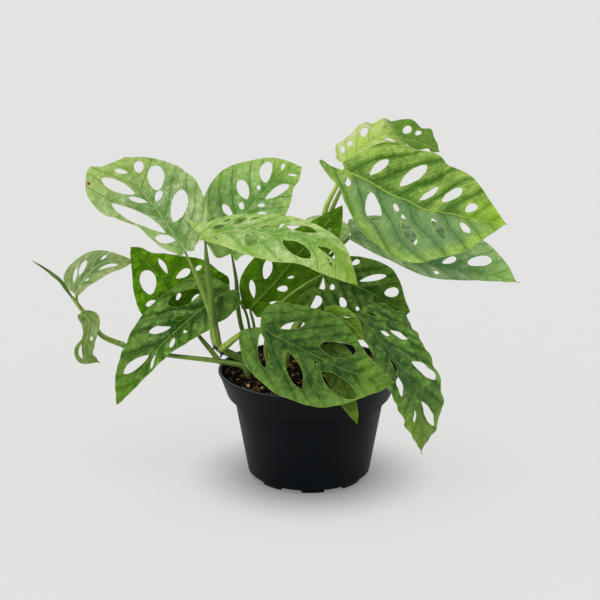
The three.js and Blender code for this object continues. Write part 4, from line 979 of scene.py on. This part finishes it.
def leafRelief(leaf, flat, outlineGap, phase, wobble, seed):  # how far each point rises from the bent sheet
    along, across, side = flat.T
    out = np.abs(across)
    quilt = np.abs(np.sin(math.pi * phase)) ** blade["quiltPower"]
    swell = 1 - np.exp(-outlineGap / blade["swellReach"])
    nearRib = 1 - np.exp(-out / blade["ribReach"])
    ripple = np.sin(along * 0.31 + across * 0.23 + seed) * np.sin(across * 0.37 - along * 0.12 + seed * 2)
    wave = np.sin(along * 0.33 + wobble + np.where(across > 0, 0, 2) + seed)
    ruffle = (out / (out + outlineGap + 1)) ** 2 * wave
    blister = noiseAt(flat[:, :2], blade["blisterSize"], seed * 3.7) * (0.3 + 0.7 * nearRib)
    fields = quilt * swell * nearRib - blade["quiltSink"] + blade["ripple"] * ripple * swell
    liftFrom, liftHeight = leaf["lift"]
    lift = liftHeight * np.clip((liftFrom - along) / blade["liftReach"], 0, 1) ** 1.5 * (across < 0)
    return leaf["quilt"] * fields + leaf["ruffle"] * ruffle + leaf["blister"] * blister + lift


def makeLeaf(name, leaf, seed):
    leaf = {**plainLeaf, **leaf}
    surface = LeafSurface(leaf)
    length = surface.length
    sheet, loops = leafSheet(leaf, length)
    flat = np.array([tuple(vert.co) for vert in sheet.verts])
    along, across, side = flat.T
    spots = flat[:, :2]
    outlineGap = gapTo(spots, loops[0])
    edgeGap = np.min([outlineGap] + [gapTo(spots, loop) for loop in loops[1:]], axis=0)
    wobble = sideVein["wobble"] * noiseAt(spots, sideVein["wobbleSize"], seed * 5.3)
    phase = veinPhase(leaf, length, along, across, wobble)
    relief = leafRelief(leaf, flat, outlineGap, phase, wobble, seed)
    share = np.clip(along / length, 0, 1)
    ribShape = np.exp(-(across / blade["ribWidth"]) ** 2) * (1 - 0.75 * share) * (along > -1)
    groove = blade["grooveDepth"] * np.exp(-(across / blade["grooveWidth"]) ** 2)
    half = blade["thickness"] / 2
    height = np.where(side > 0.5, half - groove, -half - blade["ribDepth"] * ribShape)
    placed = surface.bend(along, across, relief) + surface.normal(along, across) * height[:, None]
    for vert, point in zip(sheet.verts, placed):
        vert.co = point
    piece = finishPiece(name + "_blade", sheet, leafMaterial(name, leaf, length, seed), leaf["slot"], name)
    storeVectors(piece, "leafPlace", flat)
    storeVectors(piece, "leafVeins", np.column_stack([phase, outlineGap, edgeGap]))
    return len(piece.data.polygons)


total = sum(makeLeaf(name, leaf, index + 1) for index, (name, leaf) in enumerate(leaves.items()))
print("leaves are made:", total, "faces")

# Stalks
# A tube: its path, its radii from first to last, how yellow it is (0 deep green, 1 yellow-green, 2 marks a
# dark root stub) and the leaf that it carries.
vines = {
    "vine_left": [
        ([(-48, -1, 77), (-48, -1, 89), (-53, 0.2, 97.4), (-62, 0.3, 102.8), (-73, 0, 108)],
         (3.4, 3.2, 3.2), 0.1),
        ([(-70, 2, 105), (-76, -1, 114), (-79, -3, 138)], (3.4, 4.4, 3.2), 0.5),
        ([(-78, -3, 130), (-83, -2, 147), (-91, 1, 168)], (2.6, 2.4, 2.3, 2.2), 0.45, "leaf_upper_left"),
        ([(-78, -3, 130), (-80, -5, 152), (-82, -9, 176)], (3, 2.9, 2.7, 2.6), 0.25, "leaf_front_upper"),
        ([(-72, 0, 108), (-58, -18, 125), (-48, -30, 134)], (3.4, 2.7, 2.3), 0.7, "leaf_front_large"),
        ([(-77, -1, 111), (-80, -3, 108.5)], (1.3, 0.6), 2),
        ([(-72, -1, 105), (-73, -3, 101.5)], (1.3, 0.6), 2),
    ],
    "vine_runner": [
        ([(-50, -10, 77), (-50, -10, 88), (-54, -8, 96), (-64, -2, 96.5), (-75, 4, 96.5)], (2.6, 2.4),
         0.12),
        ([(-74, 4, 96.5), (-95, 10, 97), (-117, 15, 98), (-137, 18, 101), (-156, 21, 105)], (2.2, 1.9, 2.1),
         0.35),
        ([(-155, 21, 105), (-171, 23, 111), (-178, 24, 118), (-187, 25, 131), (-193, 24, 140),
         (-197, 21, 147)], (2.6, 2.2, 1.9, 1.5), 0.6),
        ([(-74, 3, 96), (-82, 16, 102), (-92, 31, 109)], (2.5, 2.3, 2.1), 0.35, "leaf_left_back"),
        ([(-191, 24.5, 137), (-193, 24, 142)], (1.3, 0.9), 0.6, "leaf_runner"),
        ([(-186, 25, 129), (-189, 24, 132)], (1.5, 1), 0.6, "leaf_runner_hanging"),
    ],
    "vine_centre": [
        ([(-47, 39, 77), (-47, 39, 86), (-48, 39, 95)], (3, 3.2, 2.6), 0.3),
        ([(-48, 39, 90), (-52, 42, 101), (-57, 44, 113), (-60, 44, 131), (-61, 43, 153), (-63, 42, 168)],
         (2.4, 2.1, 2, 1.9), 0.3, "leaf_upper_middle"),
        ([(-48, 38, 90), (-49, 30, 109), (-52, 22, 131), (-58, 21, 144)], (2, 1.4, 1.2), 0.2,
         "leaf_left_drooping"),
        ([(-47, 38, 90), (-45, 31, 104), (-46, 22, 122)], (2.2, 1.6, 1.4), 0.3, "leaf_centre_back"),
    ],
    "vine_middle": [
        ([(-33, 10, 76), (-33, 10, 87), (-36, 11, 104), (-33, 11, 124), (-22, 8, 146), (-5, 5, 161)],
         (2, 1.9, 1.7, 1.4), 0.55, "leaf_middle_right"),
    ],
    "vine_right": [
        ([(-21, 5, 75), (-21, 5, 86), (-20, 8, 98), (-14, 13, 116), (-3, 19, 138), (7, 23, 159),
         (13, 30, 178), (14, 35, 196), (12, 36, 212)], (4, 3.8, 3.5, 3.2, 2.4), 0.7),
        ([(12, 35, 210), (15, 37, 222), (23, 41, 237)], (2.5, 2.2, 1.8), 1, "leaf_top_young"),
        ([(13.5, 34, 201), (19, 30, 220), (26, 22, 238)], (2.6, 2.1, 1.7), 0.7, "leaf_right_large"),
        ([(12.5, 31.5, 172), (21, 31, 183), (29, 30, 191)], (2, 1.6, 1.4), 0.4, "leaf_right_lower"),
        ([(12.5, 31.5, 174), (8, 38, 179), (1, 43, 187)], (1.6, 1.3, 1.1), 0.5, "leaf_back_pale"),
    ],
    "vine_front": [
        ([(-4, 12, 75), (-4, 12, 84), (1, 5, 103), (17, -6, 124), (31, -15, 138)], (2.6, 2.4, 1.9, 1.5),
         0.6, "leaf_right_drooping"),
        ([(-3, 9, 92), (0, -6, 104), (6, -24, 113)], (1.8, 1.4, 1.1), 0.6, "leaf_front_small"),
        ([(4, 3, 107), (7, -6, 123), (10, -18, 139)], (1.6, 1.3, 1.1), 0.5, "leaf_middle_small"),
    ],
}
stalk = {
    "voxel": 0.42, "smoothing": 3, "endRadius": 1.3, "creepLength": 7, "creepRadius": 0.5,
    "depths": (1.4, 0.7), "roundness": 5, "gloss": 0.45, "scar": (128, 112, 66), "joint": (112, 92, 56),
    "jointAt": 4.4, "root": (26, 20, 16),
    "tones": [(0.0, (52, 84, 20)), (0.28, (88, 122, 34)), (0.55, (138, 166, 60)), (0.8, (176, 198, 92)),
              (1, (204, 220, 130))],
}


def stalkMaterial(name):
    paint = Paint(name + "_stalk")
    tube = paint.attribute("tubePlace")
    tone, run = paint.split(paint.attribute("tubeTone"))[:2]
    grooves = paint.noise(paint.shift(tube, (0.9, 0.9, 0.035)), 1, detail=3)
    flecks = paint.noise(paint.shift(tube, (1.2, 1.2, 0.4)), 1, detail=5, roughness=0.7)
    rings = paint.noise(paint.shift(tube, (0.05, 0.05, 0.14)), 1, detail=2)
    shade = tone * 0.62 + (grooves - 0.5) * 1.1 + (flecks - 0.5) * 0.35 + (rings - 0.5) * 0.35 + 0.12
    colour = paint.ramp(shade, stalk["tones"])
    colour = paint.mix(paint.ease(rings, 0.62, 0.72, 0, 0.2), colour, linear(stalk["scar"]))
    jointGap = abs(run - stalk["jointAt"]) + (flecks - 0.5) * 1.6  # a dry ring where a tube starts
    colour = paint.mix(paint.ease(jointGap, 0.3, 1.1, 0.6, 0), colour, linear(stalk["joint"]))
    colour = paint.mix(paint.ease(tone, 1.2, 1.7), colour, linear(stalk["root"]))
    bump = paint.bump(grooves * 0.7 + flecks * 0.3, 0.5, 0.6)
    return paint.finish(paint.surface(colour, 0.42 + flecks * 0.2, stalk["gloss"], Normal=bump))


def tubeObject(line, radii):  # a tube as a bevelled curve
    curve = bpy.data.curves.new("tube", "CURVE")
    curve.dimensions = "3D"
    curve.bevel_depth = 1
    curve.bevel_resolution = stalk["roundness"]
    curve.use_fill_caps = True
    spline = curve.splines.new("POLY")
    spline.points.add(len(line) - 1)
    for knot, place, radius in zip(spline.points, line, radii):
        knot.co = (*place, 1)
        knot.radius = radius
    return linkObject("tube", curve)


def stalkLine(path, radii, leaf=""):
    line = splineTable(path, 10, True)
    if leaf:  # the tube goes on under its leaf, beside the midrib
        surface = LeafSurface(leaves[leaf])
        along = np.array([0.0, stalk["creepLength"]])
        down = surface.normal(along + 0.5, along * 0)
        ends = surface.bend(along, along * 0) - down * np.array(stalk["depths"])[:, None]
        line = splineTable([*path, ends[0]], 10, True)
        line = np.vstack([line, splineTable(ends, 6, True)[1:]])
        radii = [*radii, stalk["endRadius"], stalk["creepRadius"]]
    run = runLengths(line) / runLengths(line)[-1]
    return line, np.interp(run, np.linspace(0, 1, len(radii)), radii)


def makeStalks(name, parts):
    joined = bmesh.new()
    marks = []
    for path, radii, tone, *leaf in parts:
        line, radii = stalkLine(path, radii, *leaf)
        settle(tubeObject(line, radii), joined)
        run = runLengths(line)
        marks += [(*mark, tone) for mark in zip(line, unit(np.gradient(line, run, axis=0)), run)]
    bmesh.ops.scale(joined, vec=(mm, mm, mm), verts=joined.verts)
    holder = meshObject("stalks", joined)
    remesh = holder.modifiers.new("join", "REMESH")
    remesh.mode = "VOXEL"
    remesh.voxel_size = stalk["voxel"] * mm
    shape = settle(holder, bmesh.new())
    for turn in range(stalk["smoothing"]):
        bmesh.ops.smooth_vert(shape, verts=shape.verts, factor=0.5, use_axis_x=True, use_axis_y=True,
                              use_axis_z=True)
    bmesh.ops.scale(shape, vec=(1 / mm, 1 / mm, 1 / mm), verts=shape.verts)
    nearest = KDTree(len(marks))
    for index, mark in enumerate(marks):
        nearest.insert(mark[0], index)
    nearest.balance()
    chosen = [nearest.find(vert.co)[1] for vert in shape.verts]
    places, ways, reaches, tones = (np.array(column)[chosen] for column in zip(*marks))
    offsets = np.array([tuple(vert.co) for vert in shape.verts]) - places
    reaches = reaches + (offsets * ways).sum(axis=1)
    sideways = unit(np.cross(ways, (0.1, 1, 0.05)))
    tubes = np.column_stack([(offsets * sideways).sum(axis=1),
                             (offsets * np.cross(sideways, ways)).sum(axis=1), reaches])
    piece = finishPiece(name + "_stalks", shape, stalkMaterial(name), "stalk", name)
    storeVectors(piece, "tubePlace", tubes)
    storeVectors(piece, "tubeTone", np.column_stack([tones, reaches, reaches * 0]))
    return len(piece.data.polygons)


total = sum(makeStalks(name, parts) for name, parts in vines.items())
print("stalks are made:", total, "faces")

# Rolled new leaf
newLeaf = {
    "path": [(-197.3, 20.7, 147.6), (-201, 17, 155), (-205, 14, 163), (-212, 12, 170), (-219, 10, 176),
             (-226, 9, 181)],
    "radii": (0.9, 1.5, 1.6, 1.4, 0.9, 0.25), "rollDepth": 0.22, "rollPitch": 26,
    "tones": [(0.3, (40, 66, 14)), (0.5, (74, 108, 30)), (0.7, (120, 152, 60))],
}


def newLeafMaterial():
    paint = Paint("rolledLeaf")
    tube = paint.attribute("tubePlace")
    streaks = paint.noise(paint.shift(tube, (0.8, 0.8, 0.07)), 1, detail=4)
    flecks = paint.noise(tube, 1.1, detail=4)
    colour = paint.ramp(streaks * 0.7 + flecks * 0.3, newLeaf["tones"])
    return paint.finish(paint.surface(colour, 0.45 + flecks * 0.15, Normal=paint.bump(streaks, 0.4, 0.6)))


def makeNewLeaf():
    line = splineTable(newLeaf["path"], 12, True)
    run = runLengths(line)
    radii = np.interp(run / run[-1], np.linspace(0, 1, len(newLeaf["radii"])), newLeaf["radii"])
    shape = settle(tubeObject(line, radii), bmesh.new())
    bmesh.ops.subdivide_edges(shape, edges=shape.edges[:], cuts=1, use_grid_fill=True)
    tangent = unit(np.gradient(line, run, axis=0))
    tubes = []
    for vert in shape.verts:
        offsets = np.array(vert.co) - line
        index = int((offsets ** 2).sum(axis=1).argmin())
        way = tangent[index]
        offset = offsets[index] - way * (offsets[index] @ way)
        sideways = unit(np.cross(way, (0, 1, 0.1)))
        first, second = float(offset @ sideways), float(offset @ np.cross(sideways, way))
        angle = math.atan2(second, first) + math.tau * run[index] / newLeaf["rollPitch"]
        pull = newLeaf["rollDepth"] * ((angle % math.tau) / math.tau - 0.5)  # the roll's edge steps down
        vert.co += Vector(offset * pull)
        tubes.append((first, second, run[index]))
    piece = finishPiece("leaf_rolled_new_spike", shape, newLeafMaterial(), "leaf_rolled", "leaf_rolled_new")
    storeVectors(piece, "tubePlace", tubes)


makeNewLeaf()
print("rolled leaf is made")
